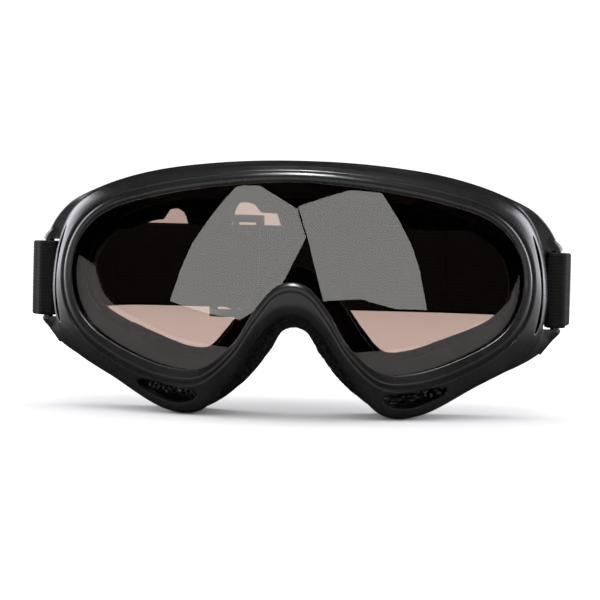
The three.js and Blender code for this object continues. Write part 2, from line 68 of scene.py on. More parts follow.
# Outlines seen from the front, from the top centre clockwise to the nose centre, as (x, z) in mm
OPENING = [
    (0, 75.1), (25, 73.3), (47, 69.7), (62, 65), (70.2, 58.2), (74.1, 49), (73.4, 37.5), (67.5, 28),
    (52, 19.2), (37.5, 15), (28.5, 15.3), (19, 23), (11.6, 34.6), (5, 42), (0, 43.4),
]
EDGE = [
    (0, 81.4), (26, 80), (50, 76.5), (66.5, 72.6), (76, 66), (81.6, 53), (82.9, 36), (78.3, 21.8),
    (58.5, 9.7), (40.5, 0.75), (29.6, 1), (18.8, 12), (9.9, 25.8), (4.4, 31.5), (0, 32.4),
]
RIM = [
    (0, 83), (26, 82), (50, 78.8), (67.5, 73.6), (80.3, 66.9), (87.5, 55.5), (87.8, 29.5), (81.5, 21),
    (59, 9.9), (40.5, 1), (29.4, 1.2), (18.6, 11.4), (9.6, 24.6), (4.4, 30), (0, 31),
]
SEAT = [
    (0, 71), (25, 70.5), (45, 68.5), (60, 63), (68.5, 55), (71.5, 46.5), (71, 38), (65, 31),
    (49, 23), (37, 18.5), (29.5, 18.7), (22.5, 26), (15.5, 36.5), (8, 44.5), (0, 47),
]
# Depth of the front edge behind the lens cylinder, depth of the groove beside the bead, and how much
# farther from the lens the bead's crest stands under the cheeks, at the same stations
EDGE_DEPTH = [6.5, 6.5, 7, 7.5, 8, 8, 8, 8.5, 9, 9, 8.5, 7.5, 6.5, 6, 6]
GROOVE = [0.3, 0.4, 0.8, 1.6, 2, 2, 2, 1.8, 1.4, 0.8, 0.4, 0.2, 0.1, 0, 0]
BEVEL = [0, 0, 0, 0, 0, 0, 0.2, 1, 1.6, 1.6, 1, 0.3, 0, 0, 0]


def lens_sag(x):
    return LENS_RADIUS - np.sqrt(LENS_RADIUS**2 - np.square(x))


def smoothstep(value, low, high):
    share = np.clip((value - low) / (high - low), 0, 1)
    return share * share * (3 - 2 * share)


def flange_depth(x, z):
    nose = np.exp(-np.square(x / NOSE_WIDTH)) * smoothstep(60 - z, 8, 28)
    return FLANGE_CENTRE + FLANGE_SWEEP * np.square(x / FLANGE_HALF_WIDTH) - NOSE_ADVANCE * nose


def smooth(points, steps, closed=True):
    """A smooth line through the points, with the given number of steps between two of them."""
    p = np.asarray(points, float)
    if closed:
        before, after, beyond = np.roll(p, 1, 0), np.roll(p, -1, 0), np.roll(p, -2, 0)
    else:
        ends = np.vstack([2 * p[0] - p[1], p, 2 * p[-1] - p[-2]])
        before, p, after, beyond = ends[:-3], ends[1:-2], ends[2:-1], ends[3:]
    knot = lambda a, b: np.maximum(np.linalg.norm(b - a, axis=1), 1e-9)[:, None] ** 0.5
    d0, d1, d2 = knot(before, p), knot(p, after), knot(after, beyond)
    leave = ((p - before) / d0 - (after - before) / (d0 + d1) + (after - p) / d1) * d1
    arrive = ((after - p) / d1 - (beyond - p) / (d1 + d2) + (beyond - after) / d2) * d1
    rows = []
    for t in np.arange(steps) / steps:
        s = t * t * (3 - 2 * t)
        rows.append((1 - s) * p + t * (1 - t) ** 2 * leave + s * after - t * t * (1 - t) * arrive)
    line = np.stack(rows, 1).reshape(-1, p.shape[1])
    return line if closed else np.vstack([line, after[-1]])


def outline(half, steps=STEPS):
    """The whole outline from its right half, mirrored about the middle."""
    return smooth(list(half) + [(-x, z) for x, z in half[-2:0:-1]], steps)


def along(half, steps=STEPS):
    """A value for every station, blended softly between the control points."""
    values = list(half) + list(half[-2:0:-1])
    stations = np.arange(len(values) * steps) / steps
    line = np.interp(stations, np.arange(len(values) + 1), values + values[:1])
    weights = np.hanning(2 * steps + 1)
    longer = np.concatenate([line[-steps:], line, line[:steps]])
    return np.convolve(longer, weights / weights.sum(), "valid")


def outward_of(line):
    """Unit vectors that point out of a closed outline that runs clockwise."""
    run = np.roll(line, -1, 0) - np.roll(line, 1, 0)
    out = np.stack([-run[:, 1], run[:, 0]], 1)
    return out / np.linalg.norm(out, axis=1)[:, None]


def at_depth(xz, y):
    return np.stack([xz[:, 0], np.broadcast_to(y, len(xz)), xz[:, 1]], 1)


def rounded(section, radii, turns):
    """Rounds the corners of every station's section, each with its own radius and number of turns."""
    columns = []
    for k, (radius, count) in enumerate(zip(radii, turns)):
        corner = section[:, k]
        if count == 0:
            columns.append(corner)
            continue
        reached = []
        for other in (section[:, k - 1], section[:, (k + 1) % section.shape[1]]):
            side = other - corner
            length = np.maximum(np.linalg.norm(side, axis=1), 1e-6)
            reached.append(corner + side * (np.minimum(radius, 0.48 * length) / length)[:, None])
        for t in np.linspace(0, 1, count + 1):
            columns.append((1 - t) ** 2 * reached[0] + 2 * t * (1 - t) * corner + t * t * reached[1])
    return np.stack(columns, 1)


def placed(name, data):
    """A new object for the data, in the scene."""
    thing = bpy.data.objects.new(name, data)
    bpy.context.scene.collection.objects.link(thing)
    return thing


def piece_from(name, positions, faces):
    """A piece from points in mm, counted from the foot of the bead, with its faces turned outwards."""
    positions = np.asarray(positions, float)
    triangles = np.array([(f[0], f[k], f[k + 1]) for f in faces for k in range(1, len(f) - 1)])
    a, b, c = (positions[triangles[:, k]] for k in range(3))
    if np.sum(a * np.cross(b, c)) < 0:
        faces = [face[::-1] for face in faces]
    mesh = bpy.data.meshes.new(name)
    mesh.from_pydata(((positions - (0, DEPTH_CENTRE, 0)) * MM).tolist(), [], [list(f) for f in faces])
    return placed(name, mesh)


def loft(name, rings, closed=True):
    """Skins rings of equally many points; an open loft is capped at both ends."""
    rings = np.asarray(rings, float)
    count, width = rings.shape[:2]
    index = np.arange(count * width).reshape(count, width)
    near = index if closed else index[:-1]
    far = np.roll(index, -1, 0) if closed else index[1:]
    quads = np.stack([near, np.roll(near, -1, 1), np.roll(far, -1, 1), far], -1).reshape(-1, 4)
    faces = [tuple(q) for q in quads.tolist()]
    if not closed:
        faces += [tuple(index[0][::-1].tolist()), tuple(index[-1].tolist())]
    return piece_from(name, rings.reshape(-1, 3), faces)


def cut_or_join(piece, other, operation):
    step = piece.modifiers.new("solid", "BOOLEAN")
    step.operation = operation
    step.solver = "EXACT"
    step.object = other
    made_plain(piece)
    bpy.data.objects.remove(other)


def made_plain(piece):
    """Bakes the piece's modifiers into its mesh."""
    bpy.context.view_layer.update()
    evaluated = piece.evaluated_get(bpy.context.evaluated_depsgraph_get())
    mesh = bpy.data.meshes.new_from_object(evaluated)
    mesh.name = piece.name
    piece.modifiers.clear()
    piece.data = mesh
    return piece


def shade(piece, material, angle=38):
    piece.data.materials.clear()
    piece.data.materials.append(material)
    piece.data.shade_smooth()
    piece.data.set_sharp_from_angle(angle=math.radians(angle))
    return piece


def frame_section():
    """The moulding's section at every station, corner by corner, from the bead round to the groove."""
    lip, edge, rim, seat = (outline(half) for half in (OPENING, EDGE, RIM, SEAT))
    depth, groove, bevel = along(EDGE_DEPTH), along(GROOVE), along(BEVEL)
    out = outward_of(lip)
    width = np.linalg.norm(edge - lip, axis=1)
    across = (edge - lip) / width[:, None]
    bead = np.minimum(BEAD_HALF, BEAD_SHARE * width)

    def over(distance, drop):
        xz = lip + across * np.broadcast_to(distance, len(lip))[:, None]
        return at_depth(xz, lens_sag(xz[:, 0]) + drop)

    def behind(distance, drop):
        xz = lip + out * distance
        return at_depth(xz, lens_sag(xz[:, 0]) + drop)

    edge_y = lens_sag(edge[:, 0]) + depth
    rim_y = flange_depth(rim[:, 0], rim[:, 1])
    seat_y = flange_depth(seat[:, 0], seat[:, 1])
    wall = edge - across * WALL
    # Each corner, the radius it is rounded to and the number of steps round it
    corners = [
        (over(0, LENS_FRONT - LENS_CLEARANCE), 0.1, 2),
        (over(0.1, 0.4), 0.4, 3),
        (over(bead + bevel, -BEAD_RISE), 0.75 * bead, 8),
        (over(2 * bead + bevel, -BEAD_RISE / 2), 0.55 * bead, 5),
        (over(2.5 * bead + bevel, 0.2 + 0.5 * groove), 0.35 * bead, 4),
        (over(3 * bead + bevel, 0.1), 0.6 * bead, 4),
        (over(0.72 * width, 0.1 + 0.18 * depth), 0.16 * width, 6),
        (over(0.92 * width, 0.5 * depth), 0.14 * width, 6),
        (at_depth(edge, edge_y), 1.0, 4),
        (at_depth(edge, np.maximum(edge_y + 1, rim_y - RIM_SLOPE)), 1.6, 4),
        (at_depth(rim, rim_y - RIM_LIP), 0.8, 4),
        (at_depth(rim, rim_y), 0.6, 3),
        (at_depth(seat, seat_y), 0.5, 3),
        (at_depth(seat, seat_y - FLANGE_THICKNESS), 0.5, 3),
        (at_depth(wall, flange_depth(wall[:, 0], wall[:, 1]) - FLANGE_THICKNESS), 1.0, 2),
        (at_depth(wall, lens_sag(wall[:, 0]) + depth + 1.6), 1.5, 3),
        (behind(LIP_INSET, LENS_BACK + LENS_CLEARANCE + GROOVE_LIP), 0.6, 3),
        (behind(LIP_INSET, LENS_BACK + LENS_CLEARANCE), 0.2, 2),
        (behind(GROOVE_DEPTH, LENS_BACK + LENS_CLEARANCE), 0, 0),
        (behind(GROOVE_DEPTH, LENS_FRONT - LENS_CLEARANCE), 0, 0),
    ]
    points, radii, turns = zip(*corners)
    return rounded(np.stack(points, 1), radii, turns)


# The vents and slits as (x, z) outlines on the right side, in mm
LOWER_VENT = [
    (49.8, 10.7), (37.3, 8.9), (31, 7.9), (29.9, 6.4), (33, 4.3), (38.5, 3.9), (45, 6.2), (49.9, 9),
]
SIDE_SLIT = [
    (77.2, 60.3), (79.6, 54.5), (80.9, 47), (81.1, 38), (80.3, 31), (78.8, 28), (79.5, 32),
    (80.5, 38.5), (80.3, 46.5), (78.9, 53.5),
]
TOP_VENT_CENTRES = [13, 32, 50]
TOP_VENT_LENGTH = 14
TOP_VENT_WIDTH = 4.4
# The radius of each opening's lip, and the far end of its cut
LOWER_VENT_LIP, LOWER_VENT_END = 0.7, 20
SIDE_SLIT_LIP, SIDE_SLIT_END = 0.3, 40.5
TOP_VENT_LIP, TOP_VENT_END = 0.6, 73.5
LIP_ANGLES = [0, 25, 50, 75]  # turns of the rounded lip, in degrees
LIP_FLARE, CUTTER_RISE = 0.3, 3  # how far the cutter spreads past the lip, and stands out of the skin
PROBE_FRONT, PROBE_TOP = -40, 120  # where the search for the skin starts, clear of the moulding


def surface_depth(tree, uv, toward):
    """How far along the cut each point of an outline meets the moulding's skin, in mm."""
    axis = 1 if toward > 0 else 2
    found = []
    for u, v in uv:
        start = Vector((u, PROBE_FRONT, v)) if axis == 1 else Vector((u, v, PROBE_TOP))
        start.y -= DEPTH_CENTRE
        hit = tree.ray_cast(start * MM, Vector((0, 1, 0) if axis == 1 else (0, 0, -1)))[0]
        found.append(np.nan if hit is None else hit[axis] / MM + (DEPTH_CENTRE if axis == 1 else 0))
    found = np.array(found)
    known = np.flatnonzero(~np.isnan(found))
    return np.interp(np.arange(len(found)), known, found[known], period=len(found))


def lipped_cutter(name, tree, shape, toward, lip, end):
    """A cutter whose sides flare out at the skin, so that the hole it cuts has a rounded lip.
    toward is 1 for a hole that runs back along Y and -1 for one that runs down along Z."""
    uv = smooth(shape, 6)
    turn = np.sum(uv[:, 0] * np.roll(uv[:, 1], -1) - uv[:, 1] * np.roll(uv[:, 0], -1))
    out = outward_of(uv) * (-1 if turn > 0 else 1)
    rings = []
    for angle in LIP_ANGLES:
        t = math.radians(angle)
        line = uv + out * lip * (1 - math.cos(t))
        rings.append((line, surface_depth(tree, line, toward) + toward * lip * (1 - math.sin(t))))
    flare = uv + out * (lip + LIP_FLARE)
    skin_level = surface_depth(tree, flare, toward)
    rings += [(flare, skin_level - toward * rise) for rise in (LIP_FLARE, CUTTER_RISE)]
    rings.insert(0, (uv, np.full(len(uv), float(end))))
    if toward > 0:
        return loft(name, [at_depth(line, level) for line, level in rings], closed=False)
    return loft(name, [np.column_stack([line, level]) for line, level in rings], closed=False)


def slot_outline(x):
    """A vent slot on the top wall at x, turned to run beside the lens."""
    y = (lens_sag(x) + 4 + flange_depth(x, 80)) / 2
    slope = math.atan2(lens_sag(x + 1) - lens_sag(x - 1), 2)
    radius = TOP_VENT_WIDTH / 2
    half = TOP_VENT_LENGTH / 2 - radius
    ends = [(half, -90), (half, -45), (half, 0), (half, 45), (half, 90)]
    ends += [(-centre, angle + 180) for centre, angle in ends]
    points = []
    for centre, angle in ends:
        u = centre + radius * math.cos(math.radians(angle))
        v = radius * math.sin(math.radians(angle))
        points.append((x + u * math.cos(slope) - v * math.sin(slope),
                       y + u * math.sin(slope) + v * math.cos(slope)))
    return points


# The notch that each strap loop sits in, and the horns and bar that hold the loop
NOTCH_LOW, NOTCH_HIGH = 29.0, 55.6
NOTCH_FLOOR, NOTCH_FRONT, NOTCH_BACK = 82.4, 38.5, 62.5
HALF_WIDTH = 95  # past the widest point of everything
BAR = (86.6, 47.3)
BAR_RADIUS, BAR_ANCHOR = 1.6, 1  # the anchor is how far each end runs on into its horn
HORN_SECTION = [
    (82.3, 43.2), (85, 43.4), (87, 44.4), (88.3, 46), (88.6, 47.8), (87.6, 49.3), (86, 49.8),
    (84.6, 48.8), (82.3, 47),
]
HORN_ROOT = (81.2, 43.6)
HORN_LEVELS = [(0, 0), (1.2, 0.04), (4, 0.4), (8.5, 0.9)]  # height from the notch, share to the root


def block(name, low, high):
    corners = list(itertools.product(*zip(low, high)))
    faces = [(0, 1, 3, 2), (4, 6, 7, 5), (0, 4, 5, 1), (2, 3, 7, 6), (0, 2, 6, 4), (1, 5, 7, 3)]
    return piece_from(name, corners, faces)


def horn(name, side, level, up):
    ring = smooth(HORN_SECTION, 5)
    rise, share = smooth(HORN_LEVELS, 5, closed=False).T
    rings = []
    for height, part in zip(rise, share):
        x, y = ((1 - part) * ring + part * np.array(HORN_ROOT)).T
        rings.append(np.column_stack([side * x, y, np.full(len(x), level + up * height)]))
    return loft(name, rings, closed=False)


def round_bar(name, x, y, radius, low, high, sides=40):
    turn = np.arange(sides) * 2 * math.pi / sides
    ring = np.column_stack([x + radius * np.cos(turn), y + radius * np.sin(turn)])
    return loft(name, [np.column_stack([ring, np.full(sides, z)]) for z in (low, high)], closed=False)


def joined(pieces):
    """Puts several separate solids into one mesh."""
    mesh = bpy.data.meshes.new(pieces[0].name)
    positions, faces, start = [], [], 0
    for piece in pieces:
        positions += [tuple(v.co) for v in piece.data.vertices]
        faces += [tuple(start + k for k in polygon.vertices) for polygon in piece.data.polygons]
        start = len(positions)
        bpy.data.objects.remove(piece)
    mesh.from_pydata(positions, [], faces)
    return placed(mesh.name, mesh)


def bare_material(name):
    """A new material with a Principled shader, and a way to add and wire nodes to it."""
    material = bpy.data.materials.new(name)
    material.use_nodes = True
    nodes, links = material.node_tree.nodes, material.node_tree.links
    shader = nodes["Principled BSDF"]

    def add(kind, settings=None, **wired):
        node = nodes.new("ShaderNode" + kind)
        for key, value in (settings or {}).items():
            if hasattr(node, key):
                setattr(node, key, value)
            else:
                node.inputs[key].default_value = value
        for key, source in wired.items():
            links.new(source, node.inputs[key])
        return node

    return material, shader, add, links


def ramp(add, source, low, high, start=0.0, end=1.0):
    """A colour ramp between two colours."""
    node = add("ValToRGB", Fac=source)
    node.color_ramp.elements[0].position, node.color_ramp.elements[1].position = start, end
    node.color_ramp.elements[0].color, node.color_ramp.elements[1].color = (*low, 1), (*high, 1)
    return node.outputs["Color"]


def satin_elastomer():
    material, shader, add, links = bare_material("satin_elastomer")
    place = add("TexCoord").outputs["Object"]
    grain = add("TexNoise", {"Scale": 2600.0, "Detail": 3.0}, Vector=place)
    flow = add("TexNoise", {"Scale": 60.0, "Detail": 5.0}, Vector=place)
    wear = add("MapRange", {"From Min": 0.3, "From Max": 0.7, "To Min": 0.24, "To Max": 0.33},
               Value=flow.outputs["Fac"])
    links.new(wear.outputs["Result"], shader.inputs["Roughness"])
    black = ramp(add, flow.outputs["Fac"], (0.0095, 0.0095, 0.0094), (0.0145, 0.0145, 0.0141), 0.3, 0.7)
    links.new(black, shader.inputs["Base Color"])
    fine = add("Bump", {"Strength": 0.12, "Distance": 0.00004}, Height=grain.outputs["Fac"])
    broad = add("Bump", {"Strength": 0.1, "Distance": 0.0001}, Height=flow.outputs["Fac"],
                Normal=fine.outputs["Normal"])
    links.new(broad.outputs["Normal"], shader.inputs["Normal"])
    shader.inputs["Specular IOR Level"].default_value = 0.32
    return material


moulding = loft("frame_moulding", frame_section())
skin = BVHTree.FromObject(moulding, bpy.context.evaluated_depsgraph_get())
cutters, horns, bars = [], [], []
for side in (1, -1):
    flip = lambda shape: [(side * x, z) for x, z in shape]
    cutters.append(lipped_cutter("lower_vent", skin, flip(LOWER_VENT), 1, LOWER_VENT_LIP, LOWER_VENT_END))
    cutters.append(lipped_cutter("side_slit", skin, flip(SIDE_SLIT), 1, SIDE_SLIT_LIP, SIDE_SLIT_END))
    for centre in TOP_VENT_CENTRES:
        slot = slot_outline(side * centre)
        cutters.append(lipped_cutter("top_vent", skin, slot, -1, TOP_VENT_LIP, TOP_VENT_END))
    near, far = sorted((side * NOTCH_FLOOR, side * HALF_WIDTH))
    cutters.append(block("notch", (near, NOTCH_FRONT, NOTCH_LOW), (far, NOTCH_BACK, NOTCH_HIGH)))
    horns += [horn("horn", side, NOTCH_HIGH, 1), horn("horn", side, NOTCH_LOW, -1)]
    bars.append(round_bar("bar", side * BAR[0], BAR[1], BAR_RADIUS, NOTCH_LOW - BAR_ANCHOR,
                          NOTCH_HIGH + BAR_ANCHOR))
cut_or_join(moulding, joined(cutters), "DIFFERENCE")
cut_or_join(moulding, joined(horns), "UNION")
cut_or_join(moulding, joined(bars), "UNION")
shade(moulding, satin_elastomer())
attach(moulding, "frame")
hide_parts("frame")


# Lens. A single sheet of brown polycarbonate, 1.8 mm thick, rolled to an upright cylinder and cut to
# the opening plus the groove's depth. It is slipped into the groove by bending the frame open.
LENS_MIDDLE = (0, 57)
LENS_RINGS = np.array([0.06, 0.15, 0.25, 0.36, 0.48, 0.6, 0.72, 0.84, 0.93])
LENS_TINT = (0.385, 0.28, 0.237)


def lens_mesh():
    lip = outline(OPENING)
    out = outward_of(lip)
    inner, rim = lip - out, lip + out * (GROOVE_DEPTH - LENS_CLEARANCE)
    middle = np.array(LENS_MIDDLE, float)
    face = [middle + (inner - middle) * share for share in LENS_RINGS] + [inner, rim]
    rows = [(row, LENS_FRONT) for row in face] + [(row, LENS_BACK) for row in face[::-1]]
    positions = np.vstack([at_depth(row, lens_sag(row[:, 0]) + depth) for row, depth in rows])
    count, last = len(lip), len(rows) - 1
    tips = [(0, LENS_FRONT, LENS_MIDDLE[1]), (0, LENS_BACK, LENS_MIDDLE[1])]
    faces = []
    for k in range(count):
        following = (k + 1) % count
        for row in range(last):
            a = row * count
            faces.append((a + k, a + following, a + count + following, a + count + k))
        faces.append((len(positions), following, k))
        faces.append((len(positions) + 1, last * count + k, last * count + following))
    return piece_from("lens_sheet", np.vstack([positions, tips]), faces)


def round_normals(lens):
    """Gives the lens's two faces the exact normals of the cylinder."""
    axis = np.array([0.0, (LENS_FRONT + LENS_RADIUS - DEPTH_CENTRE) * MM])
    mesh = lens.data
    mesh.shade_smooth()
    normals = []
    for polygon in mesh.polygons:
        flat = np.array(polygon.normal)
        for corner in polygon.vertices:
            place = mesh.vertices[corner].co
            radial = np.array([place.x - axis[0], place.y - axis[1], 0])
            radial /= np.linalg.norm(radial)
            facing = float(np.dot(radial, flat))
            normals.append(tuple(radial * math.copysign(1, facing) if abs(facing) > 0.9 else flat))
    mesh.normals_split_custom_set(normals)


def brown_polycarbonate():
    material, shader, add, links = bare_material("brown_polycarbonate")
    shader.inputs["Base Color"].default_value = (*LENS_TINT, 1)
    shader.inputs["Transmission Weight"].default_value = 1.0
    shader.inputs["IOR"].default_value = 1.42
    place = add("TexCoord").outputs["Object"]
    smear = add("TexNoise", {"Scale": 45.0, "Detail": 6.0}, Vector=place)
    wiped = add("MapRange", {"From Min": 0.45, "From Max": 0.8, "To Min": 0.0, "To Max": 0.02},
                Value=smear.outputs["Fac"])
    links.new(wiped.outputs["Result"], shader.inputs["Roughness"])
    return material


lens = lens_mesh()
lens.data.materials.append(brown_polycarbonate())
round_normals(lens)
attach(lens, "frame")
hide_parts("lens")


# Face foam. A ring of black open-cell polyurethane foam, 12 mm thick, die cut and glued to the rear
# flange. The knife leaves its inner edge a little wavy, and its skin is all open cells.
FOAM_THICKNESS = 12
GAP = 0.3
FOAM_OUTER = [
    (0, 81.8), (26, 80.8), (50, 77.6), (66.5, 72.5), (77.5, 65.2), (81.6, 54.5), (81.8, 32), (79.6, 22),
    (59, 10.6), (40.2, 0.85), (30, 0.85), (17.6, 9), (8.4, 20), (4.2, 26.8), (0, 28.4),
]
FOAM_INNER = [
    (0, 62), (24, 62), (43, 62), (57.5, 61), (67, 53.5), (70, 46), (69.5, 38), (64, 32),
    (48, 25), (36, 21), (29, 21), (23, 27), (16.5, 36), (9, 45), (0, 48.5),
]
FOAM_SIDE, FOAM_INSET = 0.82, 0.14  # shares where its sides end and where its flat back begins
FOAM_STEPS, FOAM_ROUND = 32, 92  # stations between two control points, points round a section
# The brow's edge, with two air cuts over the left eye, as (x, height of the edge) in mm
BROW_EDGE = [
    (-60, 59.6), (-56, 59.6), (-50, 62.4), (-46, 63.1), (-43.6, 66.4), (-40.4, 66.7), (-37.2, 65),
    (-36.6, 61.2), (-22.5, 61.2), (-21.3, 66.6), (-20, 68.9), (-16.8, 69.2), (-14.2, 68.4), (-12, 65.8),
    (-6.4, 65.6), (-5.9, 61.3), (57.4, 61.2),
]


def math_on(tree, operation, *sources):
    """A Math node in the tree, on numbers or on other nodes' outputs."""
    node = tree.nodes.new("ShaderNodeMath")
    node.operation = operation
    for socket, source in zip(node.inputs, sources):
        if isinstance(source, (int, float)):
            socket.default_value = source
        else:
            tree.links.new(source, socket)
    return node.outputs[0]


def growing_tree(name, values):
    """A Geometry Nodes tree with a named input for each value, and its input and output nodes."""
    tree = bpy.data.node_groups.new(name, "GeometryNodeTree")
    tree.interface.new_socket("Geometry", in_out="INPUT", socket_type="NodeSocketGeometry")
    for label, value in values.items():
        socket = tree.interface.new_socket(label, in_out="INPUT", socket_type="NodeSocketFloat")
        socket.default_value = value
    tree.interface.new_socket("Material", in_out="INPUT", socket_type="NodeSocketMaterial")
    tree.interface.new_socket("Geometry", in_out="OUTPUT", socket_type="NodeSocketGeometry")
    return tree, tree.nodes.new("NodeGroupInput"), tree.nodes.new("NodeGroupOutput")


def finish_growing(tree, grown_shape, given, result):
    """Ends a tree: its instances are made real, and the given material is set on them."""
    wire = tree.links.new
    realised = tree.nodes.new("GeometryNodeRealizeInstances")
    painted = tree.nodes.new("GeometryNodeSetMaterial")
    wire(grown_shape, realised.inputs[0])
    wire(realised.outputs[0], painted.inputs["Geometry"])
    wire(given.outputs["Material"], painted.inputs["Material"])
    wire(painted.outputs[0], result.inputs[0])
    return tree


def foam_tree():
    """Opens cells in a foam skin: pits where a point is near the middle of its cell, walls between."""
    tree, given, result = growing_tree("foam_cells", {
        "Cell Size": 0.0014, "Cell Depth": 0.0005, "Unevenness": 0.0003, "Seed": 1.0,
    })
    wire = tree.links.new
    math_node = lambda operation, *sources: math_on(tree, operation, *sources)
    density = math_node("DIVIDE", 1.0, given.outputs["Cell Size"])
    cells = tree.nodes.new("ShaderNodeTexVoronoi")
    cells.voronoi_dimensions = "4D"
    wire(density, cells.inputs["Scale"])
    wire(given.outputs["Seed"], cells.inputs["W"])
    rough = tree.nodes.new("ShaderNodeTexNoise")
    rough.noise_dimensions = "4D"
    wire(math_node("MULTIPLY", density, 0.35), rough.inputs["Scale"])
    wire(given.outputs["Seed"], rough.inputs["W"])
    pit = math_node("SMOOTH_MIN", cells.outputs["Distance"], 0.62, 0.15)
    height = math_node("MULTIPLY", math_node("SUBTRACT", pit, 0.62), given.outputs["Cell Depth"])
    swell = math_node("SUBTRACT", rough.outputs[0], 0.55)
    sway = math_node("MULTIPLY", swell, given.outputs["Unevenness"])
    offset = tree.nodes.new("ShaderNodeVectorMath")
    offset.operation = "SCALE"
    wire(tree.nodes.new("GeometryNodeInputNormal").outputs[0], offset.inputs[0])
    wire(math_node("ADD", height, sway), offset.inputs["Scale"])
    moved = tree.nodes.new("GeometryNodeSetPosition")
    wire(given.outputs["Geometry"], moved.inputs["Geometry"])
    wire(offset.outputs[0], moved.inputs["Offset"])
    return finish_growing(tree, moved.outputs[0], given, result)


def grown(piece, tree, **values):
    """Runs a node tree on a piece with its named inputs set, and keeps the result as a plain mesh."""
    step = piece.modifiers.new(tree.name, "NODES")
    step.node_group = tree
    inputs = [item for item in tree.interface.items_tree if item.in_out == "INPUT"]
    identifiers = {item.name: item.identifier for item in inputs}
    for name, value in values.items():
        step[identifiers[name.replace("_", " ")]] = value
    return made_plain(piece)


def open_cell_foam(name, cell, low, high, gloss):
    material, shader, add, links = bare_material(name)
    place = add("TexCoord").outputs["Object"]
    cells = add("TexVoronoi", {"Scale": 1 / cell}, Vector=place)
    fibres = add("TexNoise", {"Scale": 3 / cell, "Detail": 4.0}, Vector=place)
    # Painted shade: the colour darkens towards the middle of each cell, where the bump sinks a pit, and
    # is lighter on the walls between.
    links.new(ramp(add, cells.outputs["Distance"], low, high, 0.15, 0.75), shader.inputs["Base Color"])
    pits = add("Bump", {"Strength": 0.9, "Distance": cell * 0.5}, Height=cells.outputs["Distance"])
    hairs = add("Bump", {"Strength": 0.5, "Distance": cell * 0.2}, Height=fibres.outputs["Fac"],
                Normal=pits.outputs["Normal"])
    links.new(hairs.outputs["Normal"], shader.inputs["Normal"])
    shader.inputs["Roughness"].default_value = gloss
    shader.inputs["IOR"].default_value = 1.45
    return material


def face_foam_rings():
    outer, inner = outline(FOAM_OUTER, FOAM_STEPS), outline(FOAM_INNER, FOAM_STEPS)
    cut_x, cut_z = np.array(BROW_EDGE).T
    brow = (inner[:, 1] > 55) & (inner[:, 0] > cut_x[0]) & (inner[:, 0] < cut_x[-1])
    inner[brow, 1] = np.interp(inner[brow, 0], cut_x, cut_z)

    def spot(share, lift):
        xz = outer + (inner - outer) * share
        return at_depth(xz, flange_depth(xz[:, 0], xz[:, 1]) + GAP + lift)

    side = FOAM_SIDE * FOAM_THICKNESS
    corners = [
        (spot(0, 0), 0.4, 2), (spot(0, side), 2, 5), (spot(FOAM_INSET, FOAM_THICKNESS), 3, 5),
        (spot(1 - FOAM_INSET, FOAM_THICKNESS), 3, 5), (spot(1, side), 2, 5), (spot(1, 0), 0.4, 2),
    ]
    points, radii, turns = zip(*corners)
    section = rounded(np.stack(points, 1), radii, turns)
    return evenly(section, FOAM_ROUND)


def evenly(section, count):
    """Spaces the points of each closed section evenly along it."""
    result = []
    for ring in section:
        loop = np.vstack([ring, ring[:1]])
        run = np.concatenate([[0], np.cumsum(np.linalg.norm(np.diff(loop, axis=0), axis=1))])
        at = np.arange(count) * run[-1] / count
        result.append(np.column_stack([np.interp(at, run, loop[:, k]) for k in range(3)]))
    return np.array(result)


foam_cells = foam_tree()
face_foam = loft("face_foam_ring", face_foam_rings())
face_foam.data.shade_smooth()
# The darker of the two colours is painted shade in the foam's pits; the lighter is its cell walls.
soft_foam = open_cell_foam("open_cell_foam", 0.0012, (0.0012, 0.0012, 0.0012), (0.009, 0.0085, 0.008),
                           0.9)
grown(face_foam, foam_cells, Cell_Size=0.0015, Cell_Depth=0.0011, Unevenness=0.0006, Seed=3.0,
      Material=soft_foam)
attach(face_foam, "frame")
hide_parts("face_foam")


# Vent foams. Strips of coarse black filter foam behind the lower vents and under the top slots,
# knife cut from sheet and held by a spot of glue. Their cell walls glint a little, and the shade in
# their pits is painted into the colour.
TOP_STRIP_ENDS = (5, 58)
TOP_STRIP_CROWN, TOP_STRIP_FALL = 78.35, 0.0018  # its height at the middle, and how it bends down
TOP_STRIP_FRONT, TOP_STRIP_MARGIN = 9.2, 0.8  # behind the lens cylinder, and short of the flange
TOP_STRIP_THICKNESS = 2.5
LOWER_STRIP_ENDS = (29.5, 49.5)
LOWER_STRIP_FRONT, LOWER_STRIP_THICKNESS = 11.6, 2.8
LOWER_STRIP_LOW, LOWER_STRIP_HIGH = 3.6, 10
LOWER_STRIP_RISE, LOWER_EDGE_RISE = 0.12, 1.6  # rise per mm outwards, and how much more below


def filter_strip(name, side, ends, section, seed, material):
    stations = np.linspace(side * ends[0], side * ends[1], 60)
    rings = []
    for x in stations:
        y0, y1, z0, z1 = section(abs(x))
        rings.append([(x, y0, z0), (x, y1, z0), (x, y1, z1), (x, y0, z1)])
    rings = evenly(rounded(np.array(rings, float), [0.4] * 4, [2] * 4), 40)
    strip = loft(name, rings, closed=False)
    strip.data.shade_smooth()
    grown(strip, foam_cells, Cell_Size=0.0021, Cell_Depth=0.0012, Unevenness=0.0003, Seed=seed,
          Material=material)
    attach(strip, "frame")
    return strip


def top_strip_section(x):
    top = TOP_STRIP_CROWN - TOP_STRIP_FALL * x * x
    back = flange_depth(x, 80) - FLANGE_THICKNESS - TOP_STRIP_MARGIN
    return lens_sag(x) + TOP_STRIP_FRONT, back, top - TOP_STRIP_THICKNESS, top


def lower_strip_section(x):
    rise = LOWER_STRIP_RISE * (x - LOWER_STRIP_ENDS[0])
    front = lens_sag(x) + LOWER_STRIP_FRONT
    low, high = LOWER_STRIP_LOW + LOWER_EDGE_RISE * rise, LOWER_STRIP_HIGH + rise
    return front, front + LOWER_STRIP_THICKNESS, low, high
